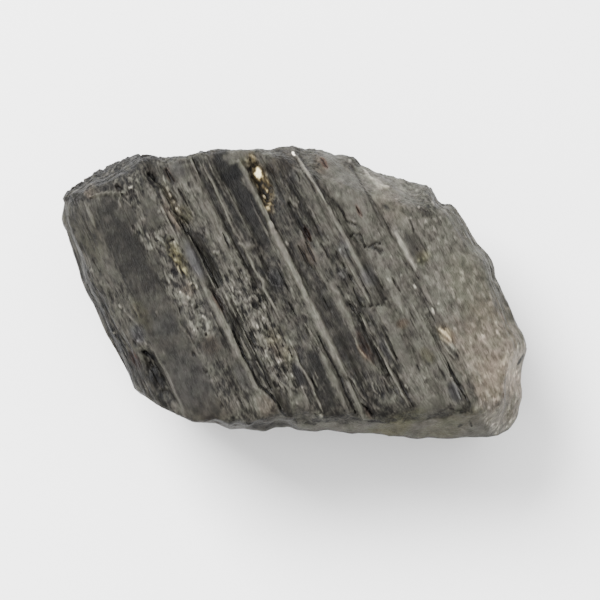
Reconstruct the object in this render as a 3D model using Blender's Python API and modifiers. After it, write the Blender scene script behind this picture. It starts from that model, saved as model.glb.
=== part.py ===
"""Tourmaline crystal (schorl): a broken length of a wide striated prism, lying on one of its prism faces.

+Y runs along the crystal's long axis, which the striations follow, +X across them, and +Z up. The origin
is on the face that the crystal lies on, in the middle of its outline. Sizes are in millimetres, and MM
turns them to metres.
"""

import math

import bmesh
import bpy
import numpy as np
from mathutils import Matrix, Vector, noise

MM = 0.001

THICKNESS = 21.0  # base to the flat middle of the striated face
BLANK_SIDE = 70.0  # cube that the cleavage and fracture planes cut the crystal from

# The sides, in plan: name, two points of the outline where it is widest, the height of that widest line,
# and the degrees by which the side leans inwards above and below it.
SIDES = (
    ("prism side", (-24.6, -1.0), (-24.4, 10.0), 14.0, 14, 17),
    ("prism side, back part", (-24.3, 10.0), (-23.4, 21.5), 14.0, 14, 17),
    ("prism side corner", (-23.4, 21.5), (-22.2, 25.2), 14.5, 18, 16),
    ("stepped end corner", (-22.4, 24.9), (-20.6, 27.2), 15.0, 25, 15),
    ("stepped end", (-21.0, 26.8), (-11.8, 27.8), 15.5, 38, 14),
    ("back end", (-9.0, 25.7), (7.7, 19.0), 17.5, 18, 12),
    ("back end, lower part", (7.7, 20.3), (15.4, 15.3), 17.0, 22, 12),
    ("back shoulder", (14.4, 14.5), (23.2, 5.1), 14.5, 42, 12),
    ("back shoulder corner", (22.2, 5.9), (24.2, 2.5), 13.5, 30, 12),
    ("open side", (24.2, 3.0), (24.6, -6.5), 12.5, 22, 14),
    ("open side, front part", (24.6, -6.5), (23.8, -16.0), 12.5, 22, 14),
    ("open side corner", (23.9, -15.9), (23.3, -18.8), 12.5, 23, 16),
    ("front side corner", (23.4, -18.6), (18.3, -26.2), 12.5, 24, 18),
    ("front corner", (18.4, -26.2), (14.4, -27.7), 13.0, 24, 20),
    ("front end, near part", (14.0, -28.0), (4.6, -23.5), 15.0, 24, 22),
    ("front end", (5.2, -24.3), (-15.2, -12.5), 18.2, 22, 22),
    ("front end, far part", (-16.8, -12.2), (-20.6, -8.6), 19.4, 24, 22),
    ("front end corner", (-22.4, -6.7), (-24.6, -3.0), 17.5, 20, 20),
)

# The facets of the striated face: name, x where it passes through the height given, that height, and its
# slopes in degrees, down towards +X and down towards -Y.
FACETS = (
    ("shoulder", -20.8, 20.0, -43, 0),
    ("dark facet", -16.0, 20.9, -6, 0),
    ("middle", 0.0, THICKNESS, 0, 0),
    ("pale facet, inner part", 11.0, THICKNESS, 8, 0),
    ("pale facet", 16.0, 20.2, 19, 2),
)

# Strips of the striated face that are smooth, as the range of x, with the share of the relief left there.
CALM_STRIPS = (
    ("dark facet", (-20.2, -15.4), 0.3),
    ("pale facet", (15.0, 26.0), 0.4),
)
CALM_EDGE = 1.2  # width over which the relief fades at the edge of such a strip

PAD_RADII = (5.0, 9.0)  # the middle of the base is worn flat out to the first, and grooved beyond the second

VOXEL = 0.42  # grid that the blank is meshed on, across the striations
STRETCH = 2.4  # how much longer its cells are along them
TRIANGLES = 8800

# The level changes across the striated face: x of each step, and its rise.
LEVELS = (
    (-21.7, -0.75),
    (-20.9, 0.95),
    (-16.3, 0.30),
    (-11.3, 0.35),
    (-9.6, -1.00),
    (-8.4, 0.60),
    (-5.2, -0.30),
    (-3.3, 0.35),
    (-2.2, -0.45),
    (0.1, 0.75),
    (0.9, -0.55),
    (3.6, 0.45),
    (5.0, -0.35),
    (7.4, 0.35),
    (8.4, -0.25),
    (9.7, 0.30),
    (13.6, -0.35),
    (14.6, 0.25),
)
STEP_WIDTH = 0.35
LEVEL_DRIFT = -0.034  # mm across for each mm along: the striations fan by a couple of degrees

# The cracks and grooves that stand out from a step away: the points they run through, width and depth.
CRACKS = (
    ("main crack", ((-9.6, 13), (-9.8, 6.2), (-10.4, 4.4), (-10.5, 0), (-11, -8.8), (-9.6, -13.6)), 1.0, 1.5),
    ("second crack", ((-9.3, 5.0), (-9.3, -9.0)), 0.6, 0.8),
    ("hollow by the shoulder", ((-21.7, 2.4), (-21.5, 0.6), (-21.6, -6.0)), 1.3, 1.7),
    ("long groove", ((4.5, -1.0), (4.9, -20.0)), 0.9, 1.1),
    ("short groove", ((6.4, 2.4), (6.3, -5.0)), 0.8, 1.0),
    ("ledge crack", ((4.8, -4.8), (6.4, -6.0), (9.0, -6.8)), 0.7, 0.9),
    ("branched crack", ((9.2, 9.0), (9.6, 1.8), (11.9, 1.3)), 0.8, 0.9),
    ("corner groove", ((12.2, -9.0), (12.3, -22.4)), 1.0, 1.4),
    ("groove in the dark band", ((-2.6, 9.0), (-2.7, 0.5)), 0.7, 0.8),
    ("end crack", ((5.8, -22.4), (8.8, -23.6), (12.0, -24.2)), 0.9, 1.2),
    ("reddish groove", ((3.9, 14.0), (3.6, 2.0)), 0.7, 0.8),
)

CRACK_TAPER = 3.5  # length over which a crack thins out at each end

# Broken hollows: centre in plan, half-lengths across and along, and depth.
HOLLOWS = (
    ("stained hollow", (2.2, 15.2), (1.6, 3.8), 1.1),
    ("hollow behind the step", (-10.6, 22.4), (1.1, 1.3), 1.5),
    ("notch in the end", (-7.6, 25.2), (1.6, 1.6), 1.6),
    ("pit in the shoulder", (-21.6, 1.2), (0.9, 1.6), 0.9),
    ("crumbled band", (-13.0, 8.5), (2.2, 8.0), 0.45),
    ("flaked patch", (-4.6, -4.0), (2.6, 5.5), 0.35),
)

# The striations: width and length of the broad and the fine ones, and how far they stand out.
BROAD_STRIATION = (3.0, 60.0)
FINE_STRIATION = (1.3, 26.0)
BROAD_HEIGHT = 0.7
FINE_HEIGHT = 0.3
STRIPS = 3.0  # flat levels that the broad ones are stepped in, for each unit of their noise
WANDER = 0.25  # how far the steps and cracks stray from straight, every WANDER_LENGTH
WANDER_LENGTH = 9.0

# The broken ends: big lumps, and columns of two sizes that snapped at different lengths, with the height
# of each.
LUMP_SIZE = (8.0, 8.0, 6.0)
LUMP_HEIGHT = 0.8
COLUMNS = ((4.6, 0.5, 0.4), (2.0, 0.2, 9.2))  # size across, height, and where in the noise they are read
COLUMN_SPREAD = 17.3  # spaces the columns' own numbers apart, so that neighbours differ
COLUMN_SLANT = 0.8  # how steeply a snapped column's end may lean
COLUMN_LEDGE = 0.2  # width of the ledge between two columns, as a share of a column

# Which part of the skin a point is on, by its normal: each fades in between the two numbers.
BROKEN_NORMALS = (0.28, 0.5)  # along the axis: the broken ends
UPWARD_NORMALS = (0.45, 0.8)  # upwards: the striated face
BASE_NORMALS = (0.6, 0.9)  # downwards: the base

SCHORL_COLOUR = (0.055, 0.052, 0.048, 1.0)
SCHORL_ROUGHNESS = 0.38


def cleave(stone, point, normal):
    """Cuts away what lies beyond a plane and closes the cut with one flat face."""
    geometry = stone.verts[:] + stone.edges[:] + stone.faces[:]
    cut = bmesh.ops.bisect_plane(
        stone, geom=geometry, dist=1e-7, plane_co=point, plane_no=normal, clear_outer=True
    )
    rim = [edge for edge in cut["geom_cut"] if isinstance(edge, bmesh.types.BMEdge)]
    if rim:
        bmesh.ops.contextual_create(stone, geom=rim)


def side_planes():
    """Each side's two planes, above and below its widest line."""
    for _, start, end, rim_height, lean_above, lean_below in SIDES:
        along = Vector((*end, 0.0)) - Vector((*start, 0.0))
        outwards = Vector((-along.y, along.x, 0.0)).normalized()
        point = Vector((*start, rim_height)) * MM
        for lean in (lean_above, -lean_below):
            tilt = math.radians(lean)
            yield point, outwards * math.cos(tilt) + Vector((0, 0, math.sin(tilt)))


def facet_planes():
    """The planes of the striated face."""
    for _, x, height, slope_across, slope_along in FACETS:
        normal = Vector((math.tan(math.radians(slope_across)), -math.tan(math.radians(slope_along)), 1.0))
        yield Vector((x, 0.0, height)) * MM, normal.normalized()


def blank():
    """The crystal's flat-sided form, cut from a cube that stands on the base plane."""
    stone = bmesh.new()
    side = BLANK_SIDE * MM
    bmesh.ops.create_cube(stone, size=side, matrix=Matrix.Translation((0, 0, side / 2)))
    for point, normal in (*side_planes(), *facet_planes()):
        cleave(stone, point, normal)
    bmesh.ops.recalc_face_normals(stone, faces=stone.faces[:])
    mesh = bpy.data.meshes.new("blank")
    stone.to_mesh(mesh)
    stone.free()
    return mesh


def evaluated_copy(mesh, name, modifier_type, **settings):
    """A new mesh: this one after a single modifier."""
    holder = bpy.data.objects.new(name, mesh)
    bpy.context.scene.collection.objects.link(holder)
    modifier = holder.modifiers.new(name, modifier_type)
    for key, value in settings.items():
        setattr(modifier, key, value)
    graph = bpy.context.evaluated_depsgraph_get()
    made = bpy.data.meshes.new_from_object(holder.evaluated_get(graph))
    bpy.data.objects.remove(holder)
    bpy.data.meshes.remove(mesh)
    return made


def even_grid(mesh):
    """Meshes the blank in one even skin whose cells are longer along the striations than across them."""
    mesh.transform(Matrix.Diagonal((1, 1 / STRETCH, 1, 1)))
    skin = evaluated_copy(mesh, "skin", "REMESH", mode="VOXEL", voxel_size=VOXEL * MM)
    skin.transform(Matrix.Diagonal((1, STRETCH, 1, 1)))
    return skin


def vectors(items, attribute):
    """The x, y, z rows of an attribute of a mesh's vertices."""
    values = np.empty(len(items) * 3)
    items.foreach_get(attribute, values)
    return values.reshape(-1, 3)


def smooth(value, low, high):
    """0 below low, 1 above high, and an eased ramp between."""
    share = np.clip((value - low) / (high - low), 0, 1)
    return share * share * (3 - 2 * share)


def fractal(points, size, octaves, offset=0.0):
    """Fractal noise at each point, about -1 to 1, whose largest lumps are size across in x, y and z."""
    scaled = points / np.array(size) + offset
    return np.array([noise.fractal(Vector(p), 0.9, 2.1, octaves) for p in scaled])


def snapped_columns(points, size, offset):
    """The end of a bundle of columns, each size across, that snapped at different lengths and slants."""
    heights = np.empty(len(points))
    for row, (x, _, z) in enumerate(points / size + offset):
        place = Vector((x, offset, z))
        distances, columns = noise.voronoi(place)
        own, other = (column_end(place, column) for column in columns[:2])
        ledge = min((distances[1] - distances[0]) / COLUMN_LEDGE, 1.0)
        heights[row] = own * (1 + ledge) / 2 + other * (1 - ledge) / 2
    return heights


def column_end(place, column):
    """How far the slanting end of one column stands out at a place, -1 to 1."""
    slant = noise.cell_vector(column * COLUMN_SPREAD) * 2 - Vector((1, 1, 1))
    return noise.cell(column * COLUMN_SPREAD) + COLUMN_SLANT * slant.dot(place - column)


def crack_depth(x, y, path, width, depth):
    """Depth at each point of a crack through a line of points: a V that thins out towards its two ends."""
    nearest = np.full(len(x), 1e9)
    travelled = np.zeros(len(x))
    before = 0.0
    for (x0, y0), (x1, y1) in zip(path, path[1:]):
        length = math.hypot(x1 - x0, y1 - y0)
        share = np.clip(((x - x0) * (x1 - x0) + (y - y0) * (y1 - y0)) / length**2, 0, 1)
        away = np.hypot(x - x0 - share * (x1 - x0), y - y0 - share * (y1 - y0))
        travelled = np.where(away < nearest, before + share * length, travelled)
        nearest = np.minimum(nearest, away)
        before += length
    to_end = np.minimum(travelled, before - travelled)
    thinning = 0.15 + 0.85 * smooth(to_end, 0.0, min(CRACK_TAPER, before / 2))
    return depth * thinning * np.clip(1 - nearest / (0.8 * width * thinning), 0, 1)


def striated_relief(points):
    """Height of the grown surface over its flat facets: striations, with flat strips and sharp steps."""
    width, length = BROAD_STRIATION
    strips = STRIPS * fractal(points, (width, length, width), 2)
    terraced = (np.floor(strips) + smooth(strips - np.floor(strips), 0.3, 0.7)) / STRIPS
    width, length = FINE_STRIATION
    fine = fractal(points, (width, length, width), 2, 31.0)
    return BROAD_HEIGHT * terraced + FINE_HEIGHT * fine


def calm_share(x):
    """The share of the striations that shows at each x of the striated face."""
    share = np.ones(len(x))
    for _, (low, high), left in CALM_STRIPS:
        inside = smooth(x, low, low + CALM_EDGE) * (1 - smooth(x, high - CALM_EDGE, high))
        share *= 1 - (1 - left) * inside
    return share


def face_relief(points):
    """The level changes, cracks and hollows of the striated face, seen from above."""
    x, y = points[:, 0], points[:, 1]
    wander = WANDER * fractal(points * (0, 1, 0), (1.0, WANDER_LENGTH, 1.0), 2, 5.0)
    across = x - LEVEL_DRIFT * y + wander
    relief = np.zeros(len(x))
    for step, rise in LEVELS:
        relief += rise * smooth(across, step - STEP_WIDTH / 2, step + STEP_WIDTH / 2)
    relief -= np.interp(x, (LEVELS[0][0], LEVELS[-1][0]), (0, sum(rise for _, rise in LEVELS)))
    for _, path, width, depth in CRACKS:
        relief -= crack_depth(x + wander, y, path, width, depth)
    for _, centre, half, depth in HOLLOWS:
        away = np.hypot((x - centre[0]) / half[0], (y - centre[1]) / half[1])
        relief -= depth * (1 - smooth(away, 0.5, 1.1))
    return relief


def broken_relief(points):
    """How far the broken ends stand out along the axis."""
    relief = LUMP_HEIGHT * fractal(points, LUMP_SIZE, 2, 11.0)
    for size, height, offset in COLUMNS:
        relief += height * snapped_columns(points, size, offset)
    return relief


def carve(mesh):
    """Moves the skin from the flat-sided blank to the grown and broken surface."""
    points = vectors(mesh.vertices, "co") / MM
    normals = vectors(mesh.vertices, "normal")
    broken = smooth(np.abs(normals[:, 1]), *BROKEN_NORMALS)
    upwards = smooth(normals[:, 2], *UPWARD_NORMALS)
    base = smooth(-normals[:, 2], *BASE_NORMALS)
    pad = base * (1 - smooth(np.hypot(points[:, 0], points[:, 1]), *PAD_RADII))
    around = normals * (1, 0, 1)
    around /= np.maximum(np.linalg.norm(around, axis=1, keepdims=True), 1e-6)
    shown = 1 - upwards * (1 - calm_share(points[:, 0]))
    grown = striated_relief(points) * shown * (1 - pad)
    points += around * (grown * (1 - broken))[:, None]
    points[:, 2] += face_relief(points) * upwards
    points[:, 1] += np.sign(normals[:, 1]) * broken_relief(points) * broken * (1 - base)
    points[:, :2] -= (points[:, :2].min(axis=0) + points[:, :2].max(axis=0)) / 2
    points[:, 2] = np.maximum(points[:, 2], 0.0)
    mesh.vertices.foreach_set("co", (points * MM).ravel())
    mesh.update()


def schorl():
    """Black tourmaline: a dark, glassy dielectric."""
    material = bpy.data.materials.new("schorl")
    material.use_nodes = True
    shader = material.node_tree.nodes["Principled BSDF"]
    shader.inputs["Base Color"].default_value = SCHORL_COLOUR
    shader.inputs["Roughness"].default_value = SCHORL_ROUGHNESS
    shader.inputs["Metallic"].default_value = 0.0
    return material


def tourmaline_crystal():
    """The whole crystal, one solid."""
    skin = even_grid(blank())
    carve(skin)
    triangles = sum(len(face.vertices) - 2 for face in skin.polygons)
    solid = evaluated_copy(skin, "fewer faces", "DECIMATE", ratio=min(1.0, TRIANGLES / triangles))
    solid.name = "tourmaline_crystal"
    crystal = bpy.data.objects.new("tourmaline_crystal", solid)
    crystal.data.materials.append(schorl())
    return crystal


def main():
    for leftover in list(bpy.data.objects):
        bpy.data.objects.remove(leftover)
    collection = bpy.data.collections.new("tourmaline crystal")
    bpy.context.scene.collection.children.link(collection)
    collection.objects.link(tourmaline_crystal())


main()
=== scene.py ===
"""Black tourmaline (schorl): the looks of a broken length of a striated prism, lying on a pale floor.

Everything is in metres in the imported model's frame: +Y along the crystal, which the striations follow,
+X across them, +Z up. Sizes that are marked mm are turned to metres by MM.
"""

import math

import bpy
import numpy as np
from mathutils import Matrix, Vector, noise


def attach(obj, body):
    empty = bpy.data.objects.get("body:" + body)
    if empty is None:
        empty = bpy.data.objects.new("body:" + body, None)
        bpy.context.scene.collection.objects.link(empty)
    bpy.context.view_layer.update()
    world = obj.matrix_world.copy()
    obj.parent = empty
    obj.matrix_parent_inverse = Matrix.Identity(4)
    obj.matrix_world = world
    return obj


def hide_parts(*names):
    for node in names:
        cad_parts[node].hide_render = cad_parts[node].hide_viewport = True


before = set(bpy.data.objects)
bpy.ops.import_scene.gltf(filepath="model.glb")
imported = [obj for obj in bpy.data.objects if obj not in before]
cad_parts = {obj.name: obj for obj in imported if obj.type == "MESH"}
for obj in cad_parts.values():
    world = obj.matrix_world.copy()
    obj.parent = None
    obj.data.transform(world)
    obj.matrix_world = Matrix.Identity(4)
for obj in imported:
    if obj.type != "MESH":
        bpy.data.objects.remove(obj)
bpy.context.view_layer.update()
MM = 0.001

# The view: the piece seen from well above with a long lens, turned so that the striations slant down to
# the right. The field is 77 mm wide, and the piece's longest line, 60 mm, fills a little over three quarters.
VIEW_TURN = -26.6  # degrees, where the view's right-hand side points, from +X
VIEW_ELEVATION = 74.0
VIEW_DISTANCE = 450 * MM
VIEW_FIELD = 76.9 * MM
VIEW_CENTRE_MM = (-0.94, -1.65, 20.9)  # the point of the striated face in the middle of the picture

view_right = Vector((math.cos(math.radians(VIEW_TURN)), math.sin(math.radians(VIEW_TURN)), 0))
view_away = Vector((-view_right.y, view_right.x, 0))
view_back = Vector((0, 0, 1)) * math.sin(math.radians(VIEW_ELEVATION))
view_back -= view_away * math.cos(math.radians(VIEW_ELEVATION))
view_up = view_back.cross(view_right)

lens = bpy.data.cameras.new("view")
lens.angle = 2 * math.atan(VIEW_FIELD / 2 / VIEW_DISTANCE)
camera = bpy.data.objects.new("view", lens)
bpy.context.scene.collection.objects.link(camera)
camera.matrix_world = Matrix.Translation(Vector(VIEW_CENTRE_MM) * MM + view_back * VIEW_DISTANCE) @ (
    Matrix((view_right, view_up, view_back)).transposed().to_4x4()
)
bpy.context.scene.camera = camera


# The crystal's skin. The real piece is one lump of schorl, grown as a wide prism with striations along it
# and then broken across at both ends. Its skin is meshed in cells that are longer along the striations,
# a third as large on the striated face, and then moved to the fine ridges, cracks and broken places.
SKIN_CELL = 0.43 * MM
CELL_STRETCH = 2.2
SMOOTH_UNDER = 40  # degrees: a sharper edge than this stays an edge
SKIN_EASING = 4  # rounds of smoothing that take the facets of the plain solid out of the skin
UPWARD = 0.36  # a face whose normal rises more than this is on the striated side
UPWARD_CUTS = 2  # across each cell there, in both directions
WELD = 0.001 * MM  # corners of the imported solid's loose triangles that are this close are one

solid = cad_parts["tourmaline_crystal"]
crystal = bpy.data.objects.new("crystal_skin", solid.data.copy())
bpy.context.scene.collection.objects.link(crystal)
bpy.ops.object.select_all(action="DESELECT")
crystal.select_set(True)
bpy.context.view_layer.objects.active = crystal
bpy.ops.object.mode_set(mode="EDIT")
bpy.ops.mesh.select_all(action="SELECT")
bpy.ops.mesh.remove_doubles(threshold=WELD)
bpy.ops.object.mode_set(mode="OBJECT")

crystal.scale = (1, 1 / CELL_STRETCH, 1)
bpy.ops.object.transform_apply(location=False, rotation=False, scale=True)
skin = crystal.modifiers.new("skin", "REMESH")
skin.mode = "VOXEL"
skin.voxel_size = SKIN_CELL
bpy.ops.object.modifier_apply(modifier=skin.name)
easing = crystal.modifiers.new("easing", "SMOOTH")
easing.iterations = SKIN_EASING
bpy.ops.object.modifier_apply(modifier=easing.name)
crystal.scale = (1, CELL_STRETCH, 1)
bpy.ops.object.transform_apply(location=False, rotation=False, scale=True)

bpy.ops.object.mode_set(mode="EDIT")
bpy.ops.mesh.select_all(action="DESELECT")
bpy.ops.object.mode_set(mode="OBJECT")
for face in crystal.data.polygons:
    face.select = face.normal.z > UPWARD
bpy.ops.object.mode_set(mode="EDIT")
bpy.ops.mesh.select_mode(type="FACE")
bpy.ops.mesh.subdivide(number_cuts=UPWARD_CUTS)
bpy.ops.object.mode_set(mode="OBJECT")


def rows_of(items, attribute):
    """The x, y and z of this attribute, a row for each item."""
    values = np.empty(len(items) * 3)
    items.foreach_get(attribute, values)
    return values.reshape(-1, 3)


def ramp(value, low, high):
    """0 below low, 1 above high, and eased between."""
    share = np.clip((value - low) / (high - low), 0, 1)
    return share * share * (3 - 2 * share)


FADING, SHRINKING = 0.8, 2.1  # of the fractal noise, from each octave to the next finer one


def fractal(places, octaves):
    """Fractal noise, about -1 to 1, at each place."""
    return np.array([noise.fractal(Vector(place), FADING, SHRINKING, octaves) for place in places])


points = rows_of(crystal.data.vertices, "co") / MM
normals = rows_of(crystal.data.vertices, "normal")

# Where each vertex lies on the striated face as the view sees it, in mm from its middle: across the
# striations, positive to the right, and along them, positive towards the front end.
ACROSS_XYZ = (1.0057, 0.0, 0.1290)  # how far a step in x, y or z goes in each of the two directions
ALONG_XYZ = (0.0318, -0.9823, -0.2480)
ACROSS_OFFSET = -1.551
ALONG_OFFSET = 5.003


def sheet_places():
    """Each vertex's place across and along the striated face, in mm."""
    return points @ ACROSS_XYZ + ACROSS_OFFSET, points @ ALONG_XYZ + ALONG_OFFSET


# Where the real outline leaves the plain solid's a little: middle (across, along), radius, and how far the
# skin there moves across and along.
NUDGE_EDGE = (0.2, 1.0)  # where each begins to fade and where it ends, in radii
NUDGES = (
    (-22.0, -22.4, 2.2, -0.4, -0.2),
    (-20.6, -24.6, 1.8, -0.1, -0.2),
    (-23.6, -13.4, 3.4, -0.3, 0.0),
    (-6.2, -23.3, 2.4, 0.0, 0.5),
    (-4.2, -22.6, 2.0, 0.0, 0.5),
    (2.2, -20.5, 3.4, 0.0, 0.9),
    (7.5, -16.8, 3.2, 0.45, -0.65),
    (11.5, -13.5, 3.4, 0.6, -0.8),
    (14.4, -12.2, 2.0, 0.6, -0.6),
    (21.3, -3.6, 1.8, 0.5, -0.2),
    (22.9, -1.6, 1.4, -0.4, 0.4),
    (-9.4, -24.3, 2.4, 0.2, -0.7),
    (-9.8, 15.4, 2.4, 0.3, -0.6),
    (-17.5, 10.5, 2.6, 0.3, -0.4),
    (5.0, 23.4, 2.6, -0.1, 0.5),
    (20.2, 25.6, 1.8, 0.1, 0.2),
    (-11.0, -25.3, 1.8, 0.2, -0.5),
    (24.2, 8.2, 2.8, 0.45, 0.0),
    (23.0, 19.8, 2.8, 0.4, 0.1),
    (-23.9, -2.5, 4.5, 0.25, 0.0),
    (12.8, 27.6, 2.6, 0.1, 0.35),
    (9.8, -15.7, 1.8, 0.1, -0.25),
    (-17.6, 9.0, 2.0, 0.0, 0.6),
    (-15.2, 9.8, 2.2, 0.0, 1.1),
    (-12.8, 10.9, 2.2, 0.0, 1.1),
    (-10.4, 12.0, 2.2, 0.0, 0.9),
    (-8.2, 13.2, 2.0, 0.0, 0.6),
)
across, along = sheet_places()
for x, y, radius, to_right, forward in NUDGES:
    share = 1 - ramp(np.hypot(across - x, along - y) / radius, *NUDGE_EDGE)
    points[:, 0] += share * to_right
    points[:, 1] -= share * forward
across, along = sheet_places()

# The striations fan: they lean to the left on the left side of the face and to the right on its right, and
# they bend a little on their way.
FAN_MIDDLE = -0.009  # mm that a striation in the middle goes sideways for each mm along
FAN_RATE = 0.00175  # the same, for each mm away from the middle
BEND = 0.3  # mm
BEND_SIZE = (9, 14)  # mm across and along
sheet = np.column_stack((across, along, np.zeros(len(points))))
fibre_across = across - along * (FAN_RATE * across + FAN_MIDDLE)
fibre_across = fibre_across + BEND * fractal(sheet / (*BEND_SIZE, 1), octaves=2)
fibre = np.column_stack((fibre_across, along, points[:, 2]))


def grain(width, length, octaves, seed, twist=0.0):
    """Fractal noise at each vertex, in fibres of this width and length in mm that wind by twist widths."""
    places = fibre / (width, length, width) + seed
    if twist:
        winding = fibre / (3 * width, 0.5 * length, 3 * width) + seed + 31
        places[:, 0] += twist * fractal(winding, octaves=2)
    return fractal(places, octaves)


def lumps(size, octaves, seed):
    """Fractal noise at each vertex, about -1 to 1, in lumps of this size in mm."""
    return fractal(points / size + seed, octaves)


FLECK_EDGE_WAVE = 0.35  # how far the edges of flecks wind, in flecks
FLECK_EDGE = 0.25  # how wide they are, in flecks
SCATTER = (12.99, 78.23, 37.72)  # with the gain, makes a random number from the place of a fleck's middle
SCATTER_GAIN = 43758.5


def flecks(width, length, seed):
    """The fleck that each vertex lies in: its own random number, 0 to 1, and 0 at its edge to 1 inside."""
    places = fibre / (width, length, width) + seed
    wave = places * 1.7
    wave = np.column_stack((fractal(wave, octaves=2), fractal(wave + 9, octaves=2)))
    places[:, :2] += FLECK_EDGE_WAVE * wave
    found = [noise.voronoi(Vector(place)) for place in places]
    middles = np.array([nearest[0] for _, nearest in found])
    number = np.modf(np.abs(np.sin(middles @ SCATTER) * SCATTER_GAIN))[0]
    gap = np.array([distances[1] - distances[0] for distances, _ in found])
    return number, ramp(gap, 0.0, FLECK_EDGE)


# By its normal and its height, how far each vertex is on the striated face, seen in the photograph, on a
# broken end, and in front: each from 0 to 1.
LOWEST_DRAWN = (9.5, 12.0)  # mm over the floor: below this no side shows in the photograph
BACK_RISE = 3.5  # mm, how much higher that is on the back end
upwards = ramp(normals[:, 2], 0.35, 0.75)
over_lowest = points[:, 2] - BACK_RISE * ramp(normals[:, 1], 0.0, 0.3)
seen_from_above = ramp(normals[:, 2], 0.02, 0.3) * ramp(over_lowest, *LOWEST_DRAWN)
ends = ramp(np.abs(normals[:, 1]), 0.3, 0.55) * (1 - upwards)
in_front = ramp(-normals[:, 1], 0.0, 0.3)

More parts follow.
